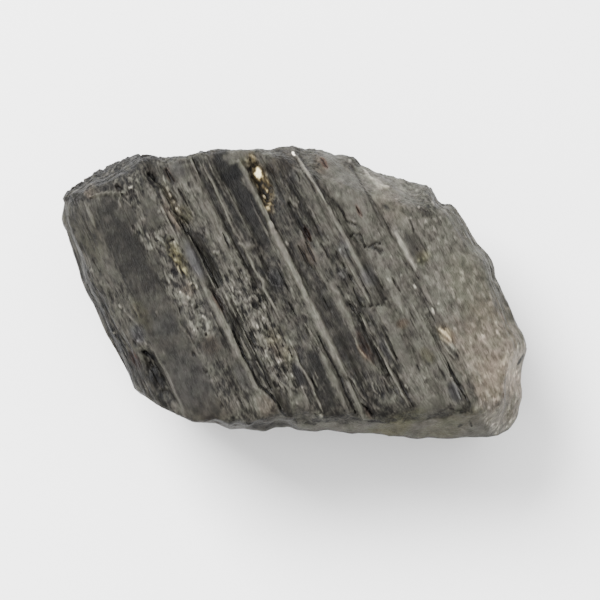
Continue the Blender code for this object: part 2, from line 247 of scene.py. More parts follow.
# The zones of the striated face, each over the ones before: middle and half-size (across, along), lightness
# (half is a middling grey), and how far the surface is ruled with straight striations, fibrous, and
# flecked, from 0 to 1.
ZONES = (
    ("left margin", (-22.2, -8.0), (3.0, 19.0), 0.45, 0.1, 0.35, 0.3),
    ("edge of the margin", (-23.7, -8.0), (1.0, 13.0), 0.33, 0.0, 0.5, 0.5),
    ("smooth head of the margin", (-20.8, -19.5), (1.9, 3.8), 0.40, 0.1, 0.15, 0.15),
    ("smooth grey of the margin", (-20.1, -14.5), (0.9, 2.6), 0.48, 0.05, 0.1, 0.05),
    ("foot of the margin", (-21.8, 2.0), (2.2, 3.5), 0.38, 0.1, 0.35, 0.3),
    ("dark under the hole", (-20.7, 1.2), (0.9, 2.2), 0.33, 0.0, 0.4, 0.4),
    ("dark foot of the margin", (-21.2, 4.2), (0.9, 1.5), 0.32, 0.0, 0.3, 0.3),
    ("band by the dark facet", (-12.7, -13.5), (2.4, 9.5), 0.46, 0.2, 0.6, 0.6),
    ("lower band", (-13.3, 7.0), (2.0, 6.0), 0.43, 0.3, 0.6, 0.3),
    ("dark facet", (-16.8, -13.0), (2.1, 10.0), 0.345, 0.0, 0.03, 0.0),
    ("dark facet, lower part", (-17.3, 0.8), (2.4, 10.5), 0.405, 0.0, 0.02, 0.0),
    ("brown part of the dark facet", (-14.9, -19.3), (1.3, 1.1), 0.43, 0.0, 0.03, 0.0),
    ("deepest of the dark facet", (-16.6, -14.5), (1.4, 3.6), 0.32, 0.0, 0.02, 0.0),
    ("smooth edge of the band", (-14.3, -11.8), (0.8, 1.6), 0.41, 0.0, 0.12, 0.1),
    ("smooth edge of the band, upper part", (-14.5, -18.4), (0.9, 1.3), 0.40, 0.0, 0.1, 0.05),
    ("smooth spot", (-11.7, -18.3), (0.9, 1.7), 0.44, 0.05, 0.1, 0.05),
    ("second smooth spot", (-12.1, -16.5), (1.2, 0.9), 0.43, 0.05, 0.1, 0.05),
    ("pitted band", (-12.4, -4.0), (1.6, 4.4), 0.56, 0.05, 0.3, 0.85),
    ("brown foot of the pits", (-12.8, 1.8), (1.4, 1.5), 0.42, 0.05, 0.15, 0.05),
    ("smooth foot of the band", (-11.0, 5.5), (0.7, 3.0), 0.44, 0.05, 0.1, 0.05),
    ("fibres by the hollow", (-9.4, -17.0), (1.2, 4.5), 0.46, 0.2, 0.5, 0.5),
    ("grey-blue strip", (-9.6, -9.3), (0.75, 3.6), 0.54, 0.05, 0.1, 0.05),
    ("light strip", (-9.95, -0.6), (0.45, 6.2), 0.63, 0.05, 0.25, 0.15),
    ("light strip, foot", (-10.1, 7.0), (0.25, 2.6), 0.6, 0.05, 0.1, 0.05),
    ("beige foot", (-10.0, 11.8), (1.4, 2.5), 0.54, 0.1, 0.4, 0.3),
    ("fibrous middle", (-5.9, 1.0), (2.0, 15.0), 0.50, 0.1, 1.0, 0.6),
    ("upper fibres", (-6.0, -14.0), (1.5, 8.5), 0.47, 0.4, 0.5, 0.3),
    ("light upper fibres", (-5.1, -13.5), (0.7, 6.0), 0.55, 0.3, 0.4, 0.2),
    ("smooth head", (-6.1, -20.8), (1.0, 1.5), 0.47, 0.1, 0.15, 0.05),
    ("dark by the crack", (-8.0, -9.0), (0.7, 4.2), 0.33, 0.1, 0.25, 0.1),
    ("crack band", (-8.7, 2.0), (0.8, 7.8), 0.38, 0.4, 0.3, 0.1),
    ("foot of the crack band", (-7.7, 12.5), (0.9, 1.6), 0.42, 0.05, 0.2, 0.1),
    ("pinkish foot", (-6.0, 14.0), (1.2, 2.4), 0.51, 0.05, 0.3, 0.3),
    ("groove by the ridges", (-3.75, -12.0), (0.35, 9.0), 0.33, 0.1, 0.2, 0.0),
    ("threads", (-2.4, -13.5), (0.8, 7.0), 0.39, 0.5, 0.4, 0.1),
    ("dark band", (-0.2, -18.4), (1.4, 2.6), 0.24, 0.0, 0.03, 0.0),
    ("dark band, lower part", (-0.1, -11.5), (1.2, 4.8), 0.29, 0.1, 0.08, 0.0),
    ("dark knots", (-1.8, -3.8), (1.7, 4.2), 0.37, 0.2, 0.45, 0.2),
    ("olive knots", (-2.0, 5.3), (1.5, 3.8), 0.43, 0.1, 0.45, 0.2),
    ("dark threads", (-2.7, 12.5), (1.5, 4.8), 0.34, 0.2, 0.35, 0.1),
    ("dark flat", (-1.7, 9.9), (0.6, 1.8), 0.27, 0.05, 0.1, 0.0),
    ("bluish flat", (-4.5, 9.8), (0.45, 1.4), 0.31, 0.05, 0.1, 0.0),
    ("grooves right of the ridge", (3.4, -5.0), (2.0, 7.0), 0.42, 0.35, 0.3, 0.1),
    ("smooth dark flat", (2.7, 7.5), (1.4, 6.0), 0.37, 0.05, 0.12, 0.05),
    ("foot of the grooves", (3.4, 16.5), (2.3, 3.2), 0.37, 0.2, 0.5, 0.2),
    ("dark grooves", (5.2, -10.5), (1.6, 6.0), 0.38, 0.35, 0.45, 0.15),
    ("purple head", (6.2, -15.8), (1.8, 1.6), 0.38, 0.1, 0.3, 0.1),
    ("stained hollow", (2.9, -14.4), (1.1, 4.4), 0.41, 0.05, 0.3, 1.0),
    ("olive rim", (1.9, -19.3), (2.2, 1.0), 0.52, 0.0, 0.15, 0.1),
    ("grey columns", (7.9, -6.0), (0.9, 6.5), 0.49, 0.3, 0.3, 0.1),
    ("pale smooth face", (12.3, -7.5), (2.3, 7.5), 0.56, 0.05, 0.1, 0.25),
    ("reddish columns", (5.6, -1.2), (1.6, 4.2), 0.44, 0.45, 0.4, 0.2),
    ("light column", (4.7, 5.2), (0.55, 3.6), 0.54, 0.1, 0.3, 0.1),
    ("reddish dark", (5.2, 11.0), (0.6, 3.0), 0.36, 0.3, 0.3, 0.1),
    ("columns by the ledge", (9.3, 2.3), (1.3, 3.8), 0.46, 0.35, 0.2, 0.05),
    ("long columns", (7.0, 13.5), (1.4, 7.5), 0.41, 0.5, 0.35, 0.1),
    ("flat below the ledge", (9.7, 12.0), (1.9, 5.0), 0.52, 0.1, 0.35, 0.2),
    ("slanting flat", (8.9, 12.6), (0.7, 2.4), 0.52, 0.02, 0.08, 0.0),
    ("grey face", (12.6, 2.5), (1.8, 6.5), 0.54, 0.1, 0.2, 0.3),
    ("striations by the corner", (12.4, 13.5), (1.4, 8.8), 0.54, 0.45, 0.25, 0.15),
    ("pale foot", (9.6, 18.9), (2.4, 2.6), 0.55, 0.08, 0.35, 0.3),
    ("smooth foot by the crack", (8.8, 21.4), (2.6, 1.0), 0.53, 0.0, 0.1, 0.05),
    ("dark by the corner groove", (12.2, 20.9), (0.4, 1.4), 0.38, 0.05, 0.1, 0.0),
    ("right face", (20.4, 2.5), (5.2, 9.5), 0.60, 0.05, 0.15, 0.45),
    ("right face, middle", (20.6, 12.5), (5.6, 7.5), 0.64, 0.0, 0.12, 0.4),
    ("right face, foot", (19.6, 20.5), (4.8, 5.4), 0.74, 0.0, 0.15, 0.4),
    ("pale shoulder", (17.4, -7.6), (2.6, 3.2), 0.63, 0.0, 0.2, 0.3),
    ("dark hollow of the right face", (16.7, 2.3), (0.85, 2.4), 0.43, 0.05, 0.12, 0.1),
    ("grey edge of the right face", (23.8, 12.0), (0.6, 5.0), 0.56, 0.0, 0.3, 0.5),
    ("rough edge of the shoulder", (20.9, -2.2), (1.6, 2.0), 0.51, 0.0, 0.3, 0.5),
    ("front corner", (17.2, 26.2), (3.6, 3.2), 0.77, 0.0, 0.1, 0.6),
    # painted lighter, to make up for the shade of a rim that faces away from the softbox
    ("lower right rim", (21.6, 24.0), (2.4, 4.4), 0.88, 0.0, 0.1, 0.5),
    ("broken end", (-13.9, -25.0), (6.2, 2.3), 0.36, 0.0, 0.1, 0.6),
    ("dark corner of the broken end", (-19.7, -24.4), (1.2, 1.0), 0.33, 0.0, 0.15, 0.3),
    ("pinkish lumps of the broken end", (-17.5, -24.1), (0.9, 0.9), 0.47, 0.0, 0.2, 0.5),
    ("rough foot of the broken end", (-11.4, -22.4), (2.4, 1.4), 0.38, 0.0, 0.4, 0.6),
)

# Ridges and light threads, then cracks and dark grooves: width, height (both mm) and lightness of each, and
# the points (across, along) that it runs through. A ridge's lightness is partly a worn crest and partly a
# painted sheen, and a crack's darkness is painted shade in it, over its cut.
RIDGES = (
    # the main ridge, which forks at its foot, and the ridge left of it
    (0.52, 0.30, 0.63, ((1.5, -18.6), (1.5, -14), (1.35, -11), (1.35, -8.5))),
    (0.98, 0.38, 0.67, ((1.25, -8.9), (1.2, -6), (1.15, -2), (1.1, 2), (1.1, 5), (1.0, 9), (0.9, 13))),
    (0.60, 0.25, 0.60, ((0.9, 12.8), (0.75, 15), (0.55, 17), (0.5, 19.3))),
    (0.30, 0.20, 0.57, ((1.2, 13), (1.6, 14), (1.6, 16.2), (1.9, 17.2))),
    (0.28, 0.15, 0.55, ((-0.7, 1.8), (-0.3, 3), (0.4, 4), (1.0, 4.8))),
    (0.30, 0.25, 0.65, ((-0.65, 4.6), (-0.5, 6.4), (-0.4, 7.8))),
    (0.65, 0.25, 0.55, ((-0.5, 8), (-0.65, 10), (-0.6, 13), (-0.9, 15), (-1.0, 17.6))),
    (0.30, 0.12, 0.50, ((0.55, -13.6), (0.45, -9.5), (0.3, -5.5))),
    (0.30, 0.10, 0.54, ((-0.1, -4.2), (-0.1, -1))),
    (0.40, 0.15, 0.62, ((-0.1, -0.5), (-0.2, 0.4), (-0.4, 1.0))),
    # threads left of the dark band
    (0.36, 0.20, 0.62, ((-2.85, -20), (-2.8, -17), (-3.0, -14), (-3.2, -11.5), (-3.2, -10), (-3.0, -9))),
    (0.34, 0.10, 0.68, ((-3.45, -8.95), (-3.1, -8.5))),
    (0.42, 0.20, 0.66, ((-3.1, -8.2), (-3.1, -6.5), (-3.2, -4.5), (-3.0, -3), (-3.3, -2), (-3.2, 0),
                        (-3.2, 2.5))),
    (0.34, 0.10, 0.75, ((-3.4, 5.3), (-3.4, 6.5))),
    (0.38, 0.20, 0.65, ((-3.4, 6.4), (-3.5, 7.6), (-3.75, 8.7), (-3.6, 10), (-3.55, 12), (-3.75, 13.6))),
    (0.32, 0.15, 0.69, ((-3.75, 13.6), (-3.8, 14.6), (-3.9, 15.6))),
    (0.28, 0.20, 0.66, ((-4.0, -21.8), (-4.0, -19.6))),
    (0.25, 0.15, 0.58, ((-2.05, -21.1), (-2.1, -19))),
    (0.20, 0.12, 0.50, ((-1.55, -16.5), (-1.6, -13), (-1.6, -8.6))),
    (0.20, 0.10, 0.47, ((-2.1, -17.8), (-2.05, -14))),
    (0.20, 0.10, 0.48, ((-2.2, -3.6), (-2.1, -2.0), (-1.2, -1.3))),
    (0.25, 0.12, 0.60, ((-2.9, 10.9), (-3.0, 12.4))),
    (0.20, 0.08, 0.55, ((-2.4, 10.7), (-2.4, 11.4))),
    (0.90, 0.15, 0.54, ((-2.9, -7.9), (-2.0, -7.7))),
    # the fibrous middle
    (0.30, 0.15, 0.67, ((-5.6, -7.2), (-5.6, -4.8))),
    (0.60, 0.10, 0.57, ((-4.5, -8.2), (-4.5, -5))),
    (0.50, 0.10, 0.60, ((-5.3, -16), (-5.1, -13), (-5.3, -12))),
    (0.35, 0.10, 0.59, ((-4.5, -15.2), (-4.5, -13))),
    (0.25, 0.10, 0.62, ((-4.4, -10.5), (-4.4, -9.1))),
    (0.35, 0.10, 0.58, ((-6.4, -12.5), (-6.6, -11))),
    (0.40, 0.12, 0.70, ((-6.9, -9.3), (-6.3, -9.0))),
    (0.22, 0.12, 0.62, ((-7.2, 1.0), (-6.95, 0.2), (-6.5, 0.3), (-6.3, 1.1), (-6.35, 1.6))),
    (0.20, 0.10, 0.60, ((-5.2, 0.5), (-4.9, 0.9), (-4.5, 1.2))),
    (0.26, 0.10, 0.59, ((-5.7, 2.6), (-5.4, 3.4), (-5.0, 4.2))),
    (0.25, 0.10, 0.58, ((-5.2, -2.8), (-5.1, -2))),
    (0.25, 0.12, 0.72, ((-4.75, -2), (-4.6, -1.1))),
    (0.20, 0.08, 0.58, ((-4.7, -0.6), (-4.2, -0.4), (-4.6, 0.3))),
    (0.30, 0.10, 0.62, ((-6.9, -1.8), (-6.6, -2.3), (-6.5, -1.2))),
    (0.25, 0.10, 0.57, ((-6.3, 10), (-5.5, 11.5), (-5.0, 13))),
    (0.25, 0.10, 0.57, ((-6.9, 9.4), (-6.5, 11), (-6.6, 12.4))),
    (0.28, 0.10, 0.60, ((-6.7, 3.0), (-6.8, 4.3), (-6.4, 4.8))),
    (0.25, 0.12, 0.61, ((-7.3, 7.9), (-7.3, 9.4))),
    # beside the main crack and the hollow above it
    (0.40, 0.12, 0.58, ((-7.6, -19.6), (-7.5, -17.5))),
    (0.30, 0.15, 0.78, ((-8.2, -21.3), (-8.35, -20.4))),
    (0.50, 0.12, 0.62, ((-9.4, -19.8), (-9.4, -17.2))),
    (0.40, 0.15, 0.66, ((-9.7, -16.7), (-9.6, -15.5), (-9.4, -14.2))),
    (0.20, 0.10, 0.58, ((-9.3, -16.7), (-8.9, -15.6))),
    (0.27, 0.15, 0.65, ((-10.3, -17.2), (-10.3, -15), (-10.3, -13))),
    (0.25, 0.15, 0.63, ((-8.4, -14.8), (-8.3, -13.4))),
    (0.22, 0.12, 0.65, ((-8.85, -12.9), (-8.8, -9), (-8.95, -7.4), (-8.9, -5))),
    (0.20, 0.08, 0.67, ((-10.0, -9.5), (-9.95, -7.2))),
    (0.20, 0.12, 0.57, ((-8.75, -4.7), (-8.6, -2))),
    (0.26, 0.15, 0.71, ((-8.1, -4.7), (-8.1, -2.2), (-8.2, -0.5))),
    (0.30, 0.12, 0.63, ((-8.9, 2.0), (-8.95, 5.2))),
    (0.22, 0.12, 0.57, ((-8.2, 0.8), (-8.2, 3), (-8.3, 5))),
    (0.25, 0.12, 0.61, ((-8.45, 5.9), (-8.35, 7.9))),
    (0.30, 0.10, 0.60, ((-8.95, 7.8), (-8.9, 9.4))),
    (0.30, 0.10, 0.59, ((-9.8, 11.0), (-10.2, 12.0))),
    (0.30, 0.10, 0.62, ((-9.6, 9.9), (-9.3, 10.6))),
    # the left margin, the ledge of the broken end and the band by the dark facet
    (0.45, 0.15, 0.58, ((-18.95, -22.8), (-18.9, -21), (-19.1, -19.4))),
    (0.25, 0.12, 0.55, ((-19.4, -9.3), (-19.3, -6.4))),
    (0.32, 0.20, 0.57, ((-20.8, -8), (-20.5, -7), (-20.1, -6), (-19.85, -5.2))),
    (0.25, 0.10, 0.52, ((-21.4, -12.6), (-21.1, -11.3))),
    (0.65, 0.15, 0.56, ((-19.7, -1.0), (-19.55, 1), (-19.55, 3.8))),
    (0.65, 0.10, 0.53, ((-19.6, 3.8), (-19.7, 7.2))),
    (0.44, 0.20, 0.58, ((-18.4, -23.3), (-17, -23.1), (-16.1, -22.9), (-15.3, -22.5), (-14.2, -21.9),
                        (-13.4, -21.5))),
    (0.25, 0.15, 0.70, ((-14.4, -21.7), (-14.1, -20.8), (-13.7, -19.7))),
    (0.40, 0.10, 0.60, ((-14.95, -21), (-14.95, -20.2))),
    (0.30, 0.12, 0.63, ((-14.05, -17.4), (-13.95, -15.6))),
    (0.20, 0.10, 0.56, ((-15, -17), (-14.6, -15.9))),
    (0.25, 0.12, 0.70, ((-13.45, -15.6), (-13.5, -14.4))),
    (0.25, 0.10, 0.70, ((-13.75, -14.3), (-13.7, -13.4))),
    (0.30, 0.12, 0.72, ((-12.7, -14.6), (-12.3, -13.9), (-12.1, -13.2))),
    (0.20, 0.10, 0.60, ((-10.45, -20.6), (-10.35, -20))),
    (0.35, 0.15, 0.50, ((-20.9, -25.0), (-19.8, -25.1), (-18.6, -25.0))),
    # grooves right of the main ridge
    (0.30, 0.12, 0.49, ((3.75, -4.5), (3.7, -1.4))),
    (0.30, 0.12, 0.49, ((4.45, -6.6), (4.45, -4.4))),
    (0.20, 0.08, 0.43, ((3.9, -13), (3.9, -8))),
    (0.28, 0.10, 0.47, ((5.2, -13.6), (5.3, -11.4))),
    (0.28, 0.12, 0.66, ((5.15, -11), (5.25, -9.8))),
    (0.20, 0.10, 0.56, ((5.5, -11.3), (5.9, -10.8), (5.8, -10.3), (6.2, -9.9))),
    (0.70, 0.15, 0.57, ((4.7, 2.0), (4.9, 3), (4.7, 5), (4.8, 7.6))),
    (0.30, 0.05, 0.70, ((5, 2.4), (5, 3.2))),
    (0.32, 0.18, 0.62, ((4.15, 8.4), (4.2, 9.2), (4.05, 10.4), (4.2, 11.4), (4.6, 13), (5.2, 14.8))),
    (0.28, 0.05, 0.78, ((4.1, 10.9), (4.35, 11.9))),
    (0.30, 0.12, 0.58, ((6.2, 5.1), (6.8, 6.0))),
    (0.36, 0.25, 0.66, ((6.35, 6.6), (6.3, 9), (6.4, 10))),
    (0.38, 0.30, 0.66, ((6.25, 10.8), (6.35, 13), (6.35, 16), (6.3, 18.5), (6.3, 20))),
    (0.32, 0.15, 0.63, ((7.45, 11.1), (7.45, 14.6))),
    (0.40, 0.10, 0.56, ((6.6, 8.8), (6.7, 9.3), (6.9, 10.4))),
    (0.46, 0.15, 0.62, ((8.05, -1), (8.1, 2.5), (8.1, 6))),
    (0.25, 0.05, 0.66, ((8.1, 3.6), (8.05, 5.8))),
    (0.35, 0.10, 0.58, ((9.0, -1.4), (9.0, 3))),
    (0.20, 0.10, 0.59, ((10.6, 2.4), (10.6, 5.2))),
    (0.25, 0.12, 0.64, ((8.5, 8), (8.5, 9.7))),
    (0.22, 0.10, 0.60, ((3.4, 15.2), (3.3, 16.3), (3.7, 17.3))),
    (0.22, 0.10, 0.60, ((3.4, 15.2), (3.9, 15.6), (4.0, 17.0))),
    (0.25, 0.10, 0.56, ((5.2, 15.2), (5.2, 16.5), (5.6, 16.9))),
    # the thin bright ridge and the pale faces right of it
    (0.40, 0.25, 0.72, ((8.55, -15.6), (8.7, -14), (8.8, -12), (9.0, -10.4), (9.05, -8))),
    (0.60, 0.15, 0.64, ((9.05, -8.6), (9.1, -6), (9.15, -3), (9.05, 0), (9.0, 4))),
    (0.25, 0.10, 0.57, ((7.0, -9), (6.9, -7), (7.1, -5.5))),
    (0.20, 0.10, 0.52, ((7.9, -14.3), (7.8, -12.6))),
    (0.25, 0.12, 0.71, ((13, -5), (13.7, -3.8))),
    (0.15, 0.08, 0.62, ((13.0, -4.4), (13.5, -3.3))),
    (0.22, 0.10, 0.66, ((10.7, -5.0), (11.2, -4.4), (10.9, -4.1))),
    (0.36, 0.15, 0.76, ((11.6, 4.2), (12.0, 5.0))),
    (0.30, 0.12, 0.68, ((11.5, 7.9), (11.2, 9.2))),
    (0.20, 0.10, 0.64, ((13.65, 9.8), (13.7, 12.2))),
    (0.75, 0.12, 0.78, ((15.35, -0.6), (15.4, 2), (15.4, 4.9))),
    (0.50, 0.08, 0.66, ((15.2, 6.5), (15.2, 10))),
    (0.45, 0.12, 0.84, ((15.7, -10), (15.8, -8.8), (16.1, -8.1))),
    (0.90, 0.10, 0.84, ((16.1, -8.4), (16.6, -7.0), (17.3, -6.4))),
    (0.30, 0.10, 0.58, ((7.2, 6.5), (8.5, 6.8), (9.5, 7.4), (10.1, 8.1))),
    # beside the corner groove, the cream flake with its painted glint, and the warm face
    (0.60, 0.20, 0.62, ((12.8, 9), (12.8, 15), (12.75, 19.6))),
    (0.46, 0.25, 0.69, ((12.75, 19.4), (12.7, 22.3))),
    (0.40, 0.12, 0.54, ((13.85, 15.5), (13.85, 19), (13.9, 22))),
    (0.34, 0.08, 0.75, ((14.0, 14.1), (14.35, 14.5), (14.7, 15.3), (14.9, 16.4))),
    (0.62, 0.10, 0.92, ((14.5, 13.1), (14.85, 13.8), (15.1, 15.0))),
    (0.60, 0.06, 0.78, ((15.3, 13.5), (15.3, 14.7))),
    (0.30, 0.10, 0.70, ((15.0, 15.2), (15.2, 17.3))),
    (0.28, 0.10, 0.71, ((14.0, 14.8), (14.15, 16.2), (14.45, 17.3))),
    (0.30, 0.08, 0.61, ((15.2, 17.5), (15.2, 19.4))),
    (0.30, 0.12, 0.71, ((14.9, 23.6), (14.6, 24.8), (15, 26), (14.8, 26.6))),
    (0.35, 0.10, 0.82, ((17.9, 20.3), (19.0, 21.8), (19.8, 23))),
    (0.30, 0.08, 0.82, ((18.7, 20.3), (19.5, 21.5))),
    (0.40, 0.08, 0.73, ((16.2, 20.8), (16.4, 21.8))),
    (0.40, 0.10, 0.75, ((15.4, 19.6), (15.3, 20.2))),
    (0.25, 0.10, 0.81, ((21.3, 15.9), (21.7, 17.3))),
    (0.25, 0.08, 0.73, ((21.2, 8.8), (21.8, 10))),
    (0.40, 0.08, 0.75, ((20.6, 18.6), (21, 19))),
    (0.30, 0.10, 0.69, ((17.3, 24.6), (18, 25.6), (18.5, 26.3))),
    (0.25, 0.08, 0.69, ((18.2, 23.8), (18.3, 25.6))),
)
